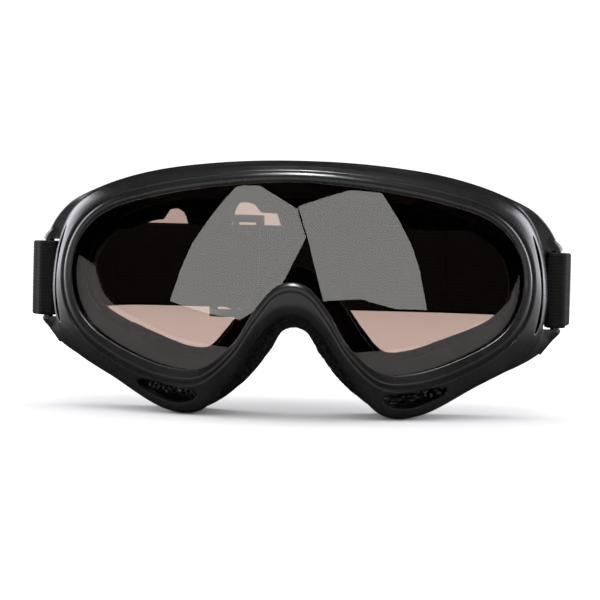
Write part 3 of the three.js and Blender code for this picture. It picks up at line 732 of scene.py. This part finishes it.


# The darker of the two colours is painted shade in the foam's pits; the lighter is its cell walls.
filter_foam = open_cell_foam("filter_foam", 0.0018, (0.0008, 0.0008, 0.0008), (0.008, 0.008, 0.008),
                             0.22)
for side, name in ((1, "right"), (-1, "left")):
    strip = filter_strip(f"top_filter_{name}", side, TOP_STRIP_ENDS, top_strip_section, 5.0 + side,
                         filter_foam)
    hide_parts(f"top_vent_foam_{name}")
    strip = filter_strip(f"lower_filter_{name}", side, LOWER_STRIP_ENDS, lower_strip_section, 9.0 + side,
                         filter_foam)
    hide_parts(f"lower_vent_foam_{name}")


# Strap webbing. Woven elastic, 25.4 mm wide where it is pinched at the bars and 31 mm behind the head,
# with fine ribs along it over the rubber cords and a firm woven edge. One end is folded round the left
# bar and sewn down; the other goes round the right bar and comes back to the slider.
STRAP_THICKNESS = 1.5
STRAP_WIDTH_AT_BAR, STRAP_WIDTH = 25.4, 31.0
STRAP_Z_AT_BAR, STRAP_Z = 42.3, 47.3
RISE_START_Y, RISE_END_Y = 90, 110.5  # between these depths the strap rises and widens
STRAP_BACK_Y = 111
STRAP_FLAT = 50
LAYER_PITCH = 2.1
WRAP_GAP = 0.35  # between a bar and the webbing that goes round it
LOOP_RADIUS = BAR_RADIUS + WRAP_GAP + STRAP_THICKNESS / 2
LOOP_Y = BAR[1] - 1.8  # middle of the bend round the bar
BEND_STEPS = 24
SINGLE_SIDE = [(91.9, 50), (92.9, 58), (92.6, 70), (89.3, 86), (80, 100), (65, 109)]
DOUBLED_SIDE = [(89.7, 50), (90.7, 60), (92.6, 73), (93.3, 84), (88.5, 97), (75, 107)]
ROUTE_STEPS = 60
SEWN_SHARE = 0.35  # of the side route that the folded end covers
MEETING_STEP = 9  # step of the side route from which the inner layer lies along it
INNER_RUN = 2.4  # straight stretch of the inner layer behind the bar
EASE_STEPS = 4
RIBS, RIB_POINTS = 22, 5
RIB_HEIGHT, RIB_FULLNESS = 0.11, 0.7
EDGE_ROUND = 0.045  # share of the half width over which the woven edge rounds off


def spaced(line, count):
    """Points at equal distances along an open line."""
    run = np.concatenate([[0], np.cumsum(np.linalg.norm(np.diff(line, axis=0), axis=1))])
    at = np.linspace(0, run[-1], count + 1)
    return np.column_stack([np.interp(at, run, line[:, k]) for k in range(line.shape[1])])


def side_route(middle):
    points = [(BAR[0] + LOOP_RADIUS, LOOP_Y), *middle, (STRAP_FLAT, STRAP_BACK_Y)]
    return spaced(smooth(points, 40, closed=False), ROUTE_STEPS)


def path_normals(path):
    run = np.gradient(path, axis=0)
    normal = np.column_stack([-run[:, 1], run[:, 0]])
    return normal / np.linalg.norm(normal, axis=1)[:, None]


def beside(path, distance):
    return path + path_normals(path) * distance


def arc(x, y, radius, start, end, steps):
    turn = np.radians(np.linspace(start, end, steps + 1))
    return np.column_stack([x + radius * np.cos(turn), y + radius * np.sin(turn)])


def inner_strand(middle, share):
    parallel = beside(side_route(middle), LAYER_PITCH)[MEETING_STEP:int(share * ROUTE_STEPS) + 1]
    start = [(BAR[0] - LOOP_RADIUS, LOOP_Y), (BAR[0] - LOOP_RADIUS, BAR[1] + INNER_RUN)]
    eased = smooth([*start, parallel[0], parallel[1]], EASE_STEPS, closed=False)[1:2 * EASE_STEPS + 1]
    return np.vstack([eased, parallel[1:]])


def mirrored_path(path):
    return (path * (-1, 1))[::-1]


def backness(y):
    return smoothstep(y, RISE_START_Y, RISE_END_Y)


def webbing_section():
    """Round the band's section: the place across it, as a share of its half width, and the height of
    its face there from the middle of its thickness."""
    share = np.linspace(-1, 1, RIBS * RIB_POINTS + 1)
    rib = RIB_HEIGHT * np.abs(np.cos(share * RIBS * math.pi / 2)) ** RIB_FULLNESS
    edge = np.sqrt(1 - ((np.abs(share) - 1 + EDGE_ROUND) / EDGE_ROUND).clip(0, 1) ** 2)
    half = (STRAP_THICKNESS / 2 - RIB_HEIGHT + rib) * edge
    return np.concatenate([share, share[-2:0:-1]]), np.concatenate([half, -half[-2:0:-1]])


def band(name, path, material):
    """Webbing standing on edge along a path in plan; its UV map runs along and across it, in mm."""
    normals = path_normals(path)
    share = backness(path[:, 1])
    centre = STRAP_Z_AT_BAR + share * (STRAP_Z - STRAP_Z_AT_BAR)
    half = (STRAP_WIDTH_AT_BAR + share * (STRAP_WIDTH - STRAP_WIDTH_AT_BAR)) / 2
    across, lift = webbing_section()
    rings = []
    for k, point in enumerate(path):
        plan = point + normals[k] * lift[:, None]
        rings.append(np.column_stack([plan, centre[k] + across * half[k]]))
    piece = loft(name, rings, closed=False)
    run = np.concatenate([[0], np.cumsum(np.linalg.norm(np.diff(path, axis=0), axis=1))])
    uv = np.column_stack([np.repeat(run, len(across)), np.tile(across * STRAP_WIDTH / 2, len(path))])
    layer = piece.data.uv_layers.new(name="weave")
    corners = np.array([loop.vertex_index for loop in piece.data.loops])
    layer.data.foreach_set("uv", uv[corners].ravel())
    piece.data.materials.append(material)
    piece.data.shade_smooth()
    return piece


def woven_elastic():
    material, shader, add, links = bare_material("woven_elastic")
    place = add("UVMap", {"uv_map": "weave"}).outputs["UV"]
    weft = add("TexWave", {"bands_direction": "X", "Scale": 0.36, "Distortion": 0.4, "Detail": 1.0},
               Vector=place)
    warp = add("TexWave", {"bands_direction": "Y", "Scale": 0.48, "Distortion": 0.3, "Detail": 1.0},
               Vector=place)
    fuzz = add("TexNoise", {"Scale": 3.0, "Detail": 6.0}, Vector=place)
    weave = math_on(material.node_tree, "MULTIPLY", weft.outputs["Fac"], warp.outputs["Fac"])
    mixed = math_on(material.node_tree, "MULTIPLY_ADD", fuzz.outputs["Fac"], 0.5, weave)
    links.new(ramp(add, mixed, (0.0006, 0.0006, 0.0008), (0.0028, 0.0028, 0.0037), 0.1, 1.0),
              shader.inputs["Base Color"])
    threads = add("Bump", {"Strength": 0.45, "Distance": 0.0002}, Height=mixed)
    links.new(threads.outputs["Normal"], shader.inputs["Normal"])
    shader.inputs["Roughness"].default_value = 0.85
    shader.inputs["Specular IOR Level"].default_value = 0.2
    return material


SLIDER_X = -28
SLIDER_LENGTH = 20
SLIDER_PRESS = 0.25  # how far the slider presses the strap towards the head
PRESS_START, PRESS_END = 3, 1  # the strap bends in between these distances from the slider's ends
webbing_cloth = woven_elastic()
bar_loop = arc(BAR[0], LOOP_Y, LOOP_RADIUS, 180, 360, BEND_STEPS)
sewn_end = inner_strand(SINGLE_SIDE, SEWN_SHARE)[::-1]
single_side = mirrored_path(np.vstack([sewn_end, bar_loop, side_route(SINGLE_SIDE)[1:]]))[::-1]
doubled_side = np.vstack([bar_loop, side_route(DOUBLED_SIDE)[1:]])[::-1]
half_slider = SLIDER_LENGTH / 2
pressed_y = STRAP_BACK_Y - SLIDER_PRESS
pressed = np.array([
    (SLIDER_X - half_slider - PRESS_START, STRAP_BACK_Y), (SLIDER_X - half_slider - PRESS_END, pressed_y),
    (SLIDER_X + half_slider + PRESS_END, pressed_y), (SLIDER_X + half_slider + PRESS_START, STRAP_BACK_Y),
])
strap = band("strap_band", np.vstack([single_side, pressed, doubled_side]), webbing_cloth)
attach(strap, "strap")
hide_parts("strap_webbing")


# Doubled layer. The same webbing, from the right bar back along the inside of the strap to the
# slider's centre bar, and folded round that bar. It is in three stretches so that the slider can
# move: the bend behind the bar, the straight run that the slider takes up, and the fold on the slider.
CENTRE_BAR_RADIUS, CENTRE_BAR_PLAY = 1.2, 0.2
WRAP_RADIUS = CENTRE_BAR_RADIUS + WRAP_GAP + STRAP_THICKNESS / 2
CENTRE_BAR_Y = STRAP_BACK_Y - LAYER_PITCH - STRAP_THICKNESS / 2 - CENTRE_BAR_PLAY - CENTRE_BAR_RADIUS
FOLD_TAIL = [(0.2, 0), (5, 0.4), (13, 1.1)]  # the sewn tail, as (x from the bar, y from the fold)
lead = inner_strand(DOUBLED_SIDE, 1.0)
inner_y = lead[-1][1]
bend = band("doubled_bend", lead, webbing_cloth)
run_x = np.linspace(STRAP_FLAT, SLIDER_X, ROUTE_STEPS)
run_y = inner_y + (CENTRE_BAR_Y + WRAP_RADIUS - inner_y) * smoothstep(-run_x, -STRAP_FLAT, -SLIDER_X)
straight = band("doubled_run", np.column_stack([run_x, run_y]), webbing_cloth)
tail_y = CENTRE_BAR_Y - WRAP_RADIUS
fold = np.vstack([
    arc(SLIDER_X, CENTRE_BAR_Y, WRAP_RADIUS, 90, 270, BEND_STEPS),
    smooth([(SLIDER_X + x, tail_y + y) for x, y in FOLD_TAIL], 8, closed=False),
])
wrap = band("doubled_fold", fold, webbing_cloth)
for piece, body in ((bend, "strap"), (straight, "strap"), (wrap, "slider")):
    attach(piece, body)
    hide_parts("strap_return_layer")
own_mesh(straight)


# Sewing. Each folded end is held by a bar tack: a close zigzag of bonded nylon thread right across the
# webbing, sunk a little into its face.
TACK_MARGIN = 2.5
TACK_RAISED = 0.7  # from the middle of the webbing's thickness out to the thread
LEFT_TACK_SHARE, LEFT_TACK_Z = 0.275, 42.6  # how far along the side route, and the tack's middle
SLIDER_TACK = (9, 0.55)  # from the slider's centre bar and from the fold
STITCH_PITCH = 0.62
THREAD_RADIUS = 0.24


def stitch_tree():
    """Lays slanted stitches at equal steps along a curve, every second one leaning the other way."""
    tree, given, result = growing_tree("bar_tack", {
        "Pitch": 0.0006, "Thread Radius": 0.00024, "Stitch Length": 0.004, "Lean": 0.08,
    })
    new, wire = tree.nodes.new, tree.links.new
    stitch = new("GeometryNodeMeshUVSphere")
    stitch.inputs["Segments"].default_value = 8
    stitch.inputs["Rings"].default_value = 6
    wire(given.outputs["Thread Radius"], stitch.inputs["Radius"])
    path, points = new("GeometryNodeMeshToCurve"), new("GeometryNodeCurveToPoints")
    points.mode = "LENGTH"
    wire(given.outputs["Geometry"], path.inputs["Mesh"])
    wire(path.outputs[0], points.inputs["Curve"])
    wire(given.outputs["Pitch"], points.inputs["Length"])
    lean, turn = new("ShaderNodeMapRange"), new("ShaderNodeCombineXYZ")
    every_second = math_on(tree, "PINGPONG", new("GeometryNodeInputIndex").outputs[0], 1.0)
    wire(every_second, lean.inputs["Value"])
    wire(math_on(tree, "MULTIPLY", given.outputs["Lean"], -1.0), lean.inputs["To Min"])
    wire(given.outputs["Lean"], lean.inputs["To Max"])
    wire(lean.outputs["Result"], turn.inputs["X"])
    rotation = new("FunctionNodeRotateRotation")
    rotation.rotation_space = "LOCAL"
    wire(points.outputs["Rotation"], rotation.inputs["Rotation"])
    wire(turn.outputs[0], rotation.inputs["Rotate By"])
    size = new("ShaderNodeCombineXYZ")
    size.inputs["X"].default_value = size.inputs["Z"].default_value = 1.0
    thread_width = math_on(tree, "MULTIPLY", given.outputs["Thread Radius"], 2.0)
    wire(math_on(tree, "DIVIDE", given.outputs["Stitch Length"], thread_width), size.inputs["Y"])
    laid = new("GeometryNodeInstanceOnPoints")
    wire(points.outputs["Points"], laid.inputs["Points"])
    wire(stitch.outputs["Mesh"], laid.inputs["Instance"])
    wire(rotation.outputs[0], laid.inputs["Rotation"])
    wire(size.outputs[0], laid.inputs["Scale"])
    return finish_growing(tree, laid.outputs[0], given, result)


def bonded_thread():
    material, shader, add, links = bare_material("bonded_thread")
    place = add("TexCoord").outputs["Object"]
    twist = add("TexWave", {"bands_direction": "DIAGONAL", "Scale": 1300.0, "Distortion": 1.0},
                Vector=place)
    links.new(ramp(add, twist.outputs["Fac"], (0.003, 0.003, 0.004), (0.014, 0.014, 0.018)),
              shader.inputs["Base Color"])
    ply = add("Bump", {"Strength": 0.6, "Distance": 0.0001}, Height=twist.outputs["Fac"])
    links.new(ply.outputs["Normal"], shader.inputs["Normal"])
    shader.inputs["Roughness"].default_value = 0.5
    return material


bar_tack = stitch_tree()
thread = bonded_thread()


def tack(name, x, y, centre_z, width, body, node):
    """A row of stitches up the webbing at (x, y), all in one upright line."""
    line = bpy.data.meshes.new(name)
    ends = [(x, y - DEPTH_CENTRE, centre_z - width / 2), (x, y - DEPTH_CENTRE, centre_z + width / 2)]
    line.from_pydata([tuple(c * MM for c in end) for end in ends], [(0, 1)], [])
    piece = placed(name, line)
    grown(piece, bar_tack, Pitch=STITCH_PITCH * MM, Thread_Radius=THREAD_RADIUS * MM, Material=thread)
    piece.data.shade_smooth()
    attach(piece, body)
    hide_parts(node)
    return piece


sewn_spot = (side_route(SINGLE_SIDE) * (-1, 1))[int(LEFT_TACK_SHARE * ROUTE_STEPS)]
tack("left_tack", sewn_spot[0] - TACK_RAISED, sewn_spot[1], LEFT_TACK_Z,
     STRAP_WIDTH_AT_BAR - TACK_MARGIN, "strap", "left_loop_stitching")
tack("slider_tack", SLIDER_X + SLIDER_TACK[0], tail_y + SLIDER_TACK[1] - TACK_RAISED, STRAP_Z,
     STRAP_WIDTH - TACK_MARGIN, "slider", "slider_loop_stitching")


# Slider. A three-bar adjuster moulded in black acetal: two bars over the back of the strap, and a
# centre bar under it that the doubled layer folds round, joined by arched end rails. Its edges are
# eased and its skin has a fine grain.
SLIDER_RAIL, SLIDER_BAR = 2.8, 3.2
SLIDER_PLAY = 0.9  # between the webbing's edges and the end rails
SLIDER_GAP, SLIDER_THICKNESS = 0.4, 2.2
BAR_SUNK = 1  # how far each bar runs on into the end rails
BAR_EASE, RAIL_EASE = 0.7, 0.5
ARCH_CROWN = 3  # half width of the flat under the centre bar
ARCH_ROUND = [1.2, 1.2, 3, 3, 1.2, 1.2]
slider_half = STRAP_WIDTH / 2 + SLIDER_PLAY
slider_low, slider_high = STRAP_Z - slider_half, STRAP_Z + slider_half
back_face = STRAP_BACK_Y + STRAP_THICKNESS / 2 + SLIDER_GAP
back_outer = back_face + SLIDER_THICKNESS
slider_left, slider_right = SLIDER_X - half_slider, SLIDER_X + half_slider


def soft_edged(piece, radius):
    step = piece.modifiers.new("edges", "BEVEL")
    step.width = radius * MM
    step.segments = 4
    step.limit_method = "ANGLE"
    return made_plain(piece)


def grained_acetal():
    material, shader, add, links = bare_material("grained_acetal")
    place = add("TexCoord").outputs["Object"]
    grain = add("TexNoise", {"Scale": 1800.0, "Detail": 4.0}, Vector=place)
    handled = add("TexNoise", {"Scale": 120.0, "Detail": 3.0}, Vector=place)
    polish = add("MapRange", {"From Min": 0.3, "From Max": 0.7, "To Min": 0.34, "To Max": 0.52},
                 Value=handled.outputs["Fac"])
    links.new(polish.outputs["Result"], shader.inputs["Roughness"])
    links.new(ramp(add, grain.outputs["Fac"], (0.008, 0.008, 0.0085), (0.016, 0.016, 0.0165), 0.3, 0.7),
              shader.inputs["Base Color"])
    spark = add("Bump", {"Strength": 0.35, "Distance": 0.00008}, Height=grain.outputs["Fac"])
    links.new(spark.outputs["Normal"], shader.inputs["Normal"])
    return material


def slider_bar(name, x):
    low, high = slider_low - BAR_SUNK, slider_high + BAR_SUNK
    return soft_edged(block(name, (x, back_face, low), (x + SLIDER_BAR, back_outer, high)), BAR_EASE)


slider = slider_bar("slider_moulding", slider_left)
cut_or_join(slider, slider_bar("second_bar", slider_right - SLIDER_BAR), "UNION")
crown_y = CENTRE_BAR_Y - CENTRE_BAR_RADIUS
arch = [
    (slider_left, back_outer), (slider_left, back_face), (SLIDER_X - ARCH_CROWN, crown_y),
    (SLIDER_X + ARCH_CROWN, crown_y), (slider_right, back_face), (slider_right, back_outer),
]
arch_line = rounded(np.array([[(x, y, 0) for x, y in arch]], float), ARCH_ROUND, [4] * 6)[0]
for low, high in ((slider_low - SLIDER_RAIL, slider_low), (slider_high, slider_high + SLIDER_RAIL)):
    rail = loft("rail", [arch_line + (0, 0, z) for z in (low, high)], closed=False)
    cut_or_join(slider, soft_edged(rail, RAIL_EASE), "UNION")
cut_or_join(slider, round_bar("centre_bar", SLIDER_X, CENTRE_BAR_Y, CENTRE_BAR_RADIUS,
                              slider_low - BAR_SUNK, slider_high + BAR_SUNK), "UNION")
shade(slider, grained_acetal(), 30)
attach(slider, "slider")
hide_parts("slider")


# Studio. A pale paper floor that ends some way in front of the goggles, a softbox overhead, one at
# each side, and two bright panels in front that show as the two broad reflections on the lens.
CAMERA_TURN, CAMERA_RISE, CAMERA_ROLL = math.radians(3.4), math.radians(1.5), math.radians(1.4)
CAMERA_DISTANCE, CAMERA_LENS = 600, 113.8
AIM = (2.8, 0, 38)
back = np.array([math.sin(CAMERA_TURN) * math.cos(CAMERA_RISE),
                 -math.cos(CAMERA_TURN) * math.cos(CAMERA_RISE), math.sin(CAMERA_RISE)])
eye = AIM + back * CAMERA_DISTANCE
right = np.cross(-back, (0, 0, 1))
right /= np.linalg.norm(right)
up = np.cross(right, -back)
level_right = right * math.cos(CAMERA_ROLL) + up * math.sin(CAMERA_ROLL)
level_up = up * math.cos(CAMERA_ROLL) - right * math.sin(CAMERA_ROLL)
camera_data = bpy.data.cameras.new("camera")
camera_data.lens = CAMERA_LENS
camera_data.clip_start = 0.01
camera = placed("camera", camera_data)
axes = np.column_stack([level_right, level_up, back, (eye - (0, DEPTH_CENTRE, 0)) * MM])
camera.matrix_world = Matrix([*axes.tolist(), [0, 0, 0, 1]])
bpy.context.scene.camera = camera

FLOOR_REACH = 9300
# The front edge of the floor sweeps forwards at the sides, as (x, y) in mm from the middle of the part
FLOOR_FRONT = [
    (0, -437), (360, -457), (700, -537), (1000, -577), (1530, -717), (4400, -1757), (FLOOR_REACH, -2607),
]
MAT_HALF, MAT_FRONT, MAT_BACK = 230, -92, 240  # the mat under the goggles
FLOOR_LEVEL = -0.1
paper, paper_shader, _, _ = bare_material("floor_paper")
paper_shader.inputs["Base Color"].default_value = (0.93, 0.93, 0.93, 1)
paper_shader.inputs["Roughness"].default_value = 0.9
paper_shader.inputs["Specular IOR Level"].default_value = 0.1


def floor_part(name, outlines):
    mesh = bpy.data.meshes.new(name)
    points = [(x * MM, y * MM, FLOOR_LEVEL * MM) for shape in outlines for x, y in shape]
    starts = np.cumsum([0] + [len(shape) for shape in outlines])
    mesh.from_pydata(points, [], [tuple(range(a, b)) for a, b in zip(starts[:-1], starts[1:])])
    part = placed(name, mesh)
    mesh.materials.append(paper)
    return part


def rectangle(x0, x1, y0, y1):
    return [(x0, y0), (x1, y0), (x1, y1), (x0, y1)]


front_part = [(-x, y) for x, y in FLOOR_FRONT[:0:-1]] + FLOOR_FRONT
front_part += [(FLOOR_REACH, MAT_FRONT), (-FLOOR_REACH, MAT_FRONT)]
floor_part("floor", [
    front_part, rectangle(-FLOOR_REACH, -MAT_HALF, MAT_FRONT, FLOOR_REACH),
    rectangle(MAT_HALF, FLOOR_REACH, MAT_FRONT, FLOOR_REACH),
    rectangle(-MAT_HALF, MAT_HALF, MAT_BACK, FLOOR_REACH),
])
mat = floor_part("mat", [rectangle(-MAT_HALF, MAT_HALF, MAT_FRONT, MAT_BACK)])
mat.visible_glossy = False

# The two panels are found by following the view from the camera off the lens, from the outline that
# each reflection has on the lens, as (x, z) in mm
PANEL_Y, PANEL_STEP = -1300, 5  # the second panel stands a step farther from the lens
PANEL_GLOW, PANEL_COLOUR = 6.0, (1.0, 0.99, 0.96)
PANELS = {
    "left_panel": [
        (-18.4, 73.7), (-11, 73.8), (1, 67.1), (4.1, 57.7), (-2.9, 43.2), (-8.4, 36.1), (-16.4, 31.1),
        (-26.8, 32.8), (-39.6, 36.4), (-36.1, 47.1), (-32.5, 55.3), (-27.9, 62.1), (-23.4, 68),
    ],
    "right_panel": [
        (1.3, 67.7), (17.6, 73.2), (27.8, 72.5), (33.7, 63.5), (38, 55.3), (40.4, 48.4), (43, 35.6),
        (32.8, 35.8), (21.7, 38.7), (10, 37.8), (4.8, 57),
    ],
}


def seen_off_lens(x, z, panel_y):
    """Where a ray from the camera, thrown back by the lens at (x, z), meets the upright plane y."""
    spot = np.array([x, lens_sag(x) + LENS_FRONT, z])
    normal = np.array([x, -math.sqrt(LENS_RADIUS**2 - x * x), 0]) / LENS_RADIUS
    ray = spot - eye
    ray -= 2 * np.dot(ray, normal) * normal
    return spot + ray * (panel_y - spot[1]) / ray[1]


def glow(name, strength, colour):
    material = bpy.data.materials.new(name)
    material.use_nodes = True
    nodes = material.node_tree.nodes
    nodes.remove(nodes["Principled BSDF"])
    lamp = nodes.new("ShaderNodeEmission")
    lamp.inputs["Color"].default_value = (*colour, 1)
    lamp.inputs["Strength"].default_value = strength
    material.node_tree.links.new(lamp.outputs[0], nodes["Material Output"].inputs["Surface"])
    return material


for k, (name, spots) in enumerate(PANELS.items()):
    corners = [seen_off_lens(x, z, PANEL_Y - PANEL_STEP * k) for x, z in spots]
    mesh = bpy.data.meshes.new(name)
    mesh.from_pydata([tuple((c - (0, DEPTH_CENTRE, 0)) * MM) for c in corners], [],
                     [tuple(range(len(corners)))])
    panel = placed(name, mesh)
    mesh.materials.append(glow(name, PANEL_GLOW, PANEL_COLOUR))
    for use in ("camera", "transmission", "diffuse", "shadow"):
        setattr(panel, f"visible_{use}", False)


# The softboxes, in metres; all are turned towards the middle of the lens
LIT_SPOT = (0, 0, 0.04)
OVERHEAD_PLACE, OVERHEAD_SIZE, OVERHEAD_POWER = (0, -0.25, 0.9), (0.16, 0.5), 18
SIDE_PLACE, SIDE_SIZE, SIDE_POWER = (1.0, 0.5, 0.33), (0.7, 0.62), 10
SIDE_COLOUR = (0.93, 0.92, 1.0)


def softbox(name, centre, size, power, colour=(1, 1, 1)):
    light = bpy.data.lights.new(name, "AREA")
    light.shape = "RECTANGLE"
    light.size, light.size_y = size
    light.energy = power
    light.color = colour
    lamp = placed(name, light)
    lamp.location = centre
    lamp.rotation_euler = (Vector(LIT_SPOT) - Vector(centre)).to_track_quat("-Z", "Y").to_euler()
    return lamp


softbox("overhead", OVERHEAD_PLACE, OVERHEAD_SIZE, OVERHEAD_POWER).visible_diffuse = False
for side, name in ((-1, "left_side"), (1, "right_side")):
    softbox(name, (side * SIDE_PLACE[0], *SIDE_PLACE[1:]), SIDE_SIZE, SIDE_POWER, SIDE_COLOUR)

# The room is white to soft light and when seen through the lens, and dark in whatever mirrors it
ROOM_LIGHT = 1.15
ROOM_DARK = (0.004, 0.004, 0.0045, 1)
world = bpy.data.worlds.new("studio")
bpy.context.scene.world = world
world.use_nodes = True
room = world.node_tree
lit = room.nodes["Background"]
lit.inputs["Color"].default_value = (1, 1, 1, 1)
lit.inputs["Strength"].default_value = ROOM_LIGHT
dark = room.nodes.new("ShaderNodeBackground")
dark.inputs["Color"].default_value = ROOM_DARK
ray = room.nodes.new("ShaderNodeLightPath")
heading = room.nodes.new("ShaderNodeSeparateXYZ")
room.links.new(room.nodes.new("ShaderNodeTexCoord").outputs["Generated"], heading.inputs[0])
behind_lens = math_on(room, "GREATER_THAN", heading.outputs["Y"], 0.0)
seen_through = math_on(room, "MULTIPLY", behind_lens, ray.outputs["Is Transmission Ray"])
mirrored = math_on(room, "MAXIMUM", ray.outputs["Is Glossy Ray"], ray.outputs["Is Transmission Ray"])
choose = room.nodes.new("ShaderNodeMixShader")
room.links.new(math_on(room, "SUBTRACT", mirrored, seen_through), choose.inputs["Fac"])
room.links.new(lit.outputs[0], choose.inputs[1])
room.links.new(dark.outputs[0], choose.inputs[2])
room.links.new(choose.outputs[0], room.nodes["World Output"].inputs["Surface"])
bpy.context.scene.view_settings.view_transform = "Standard"
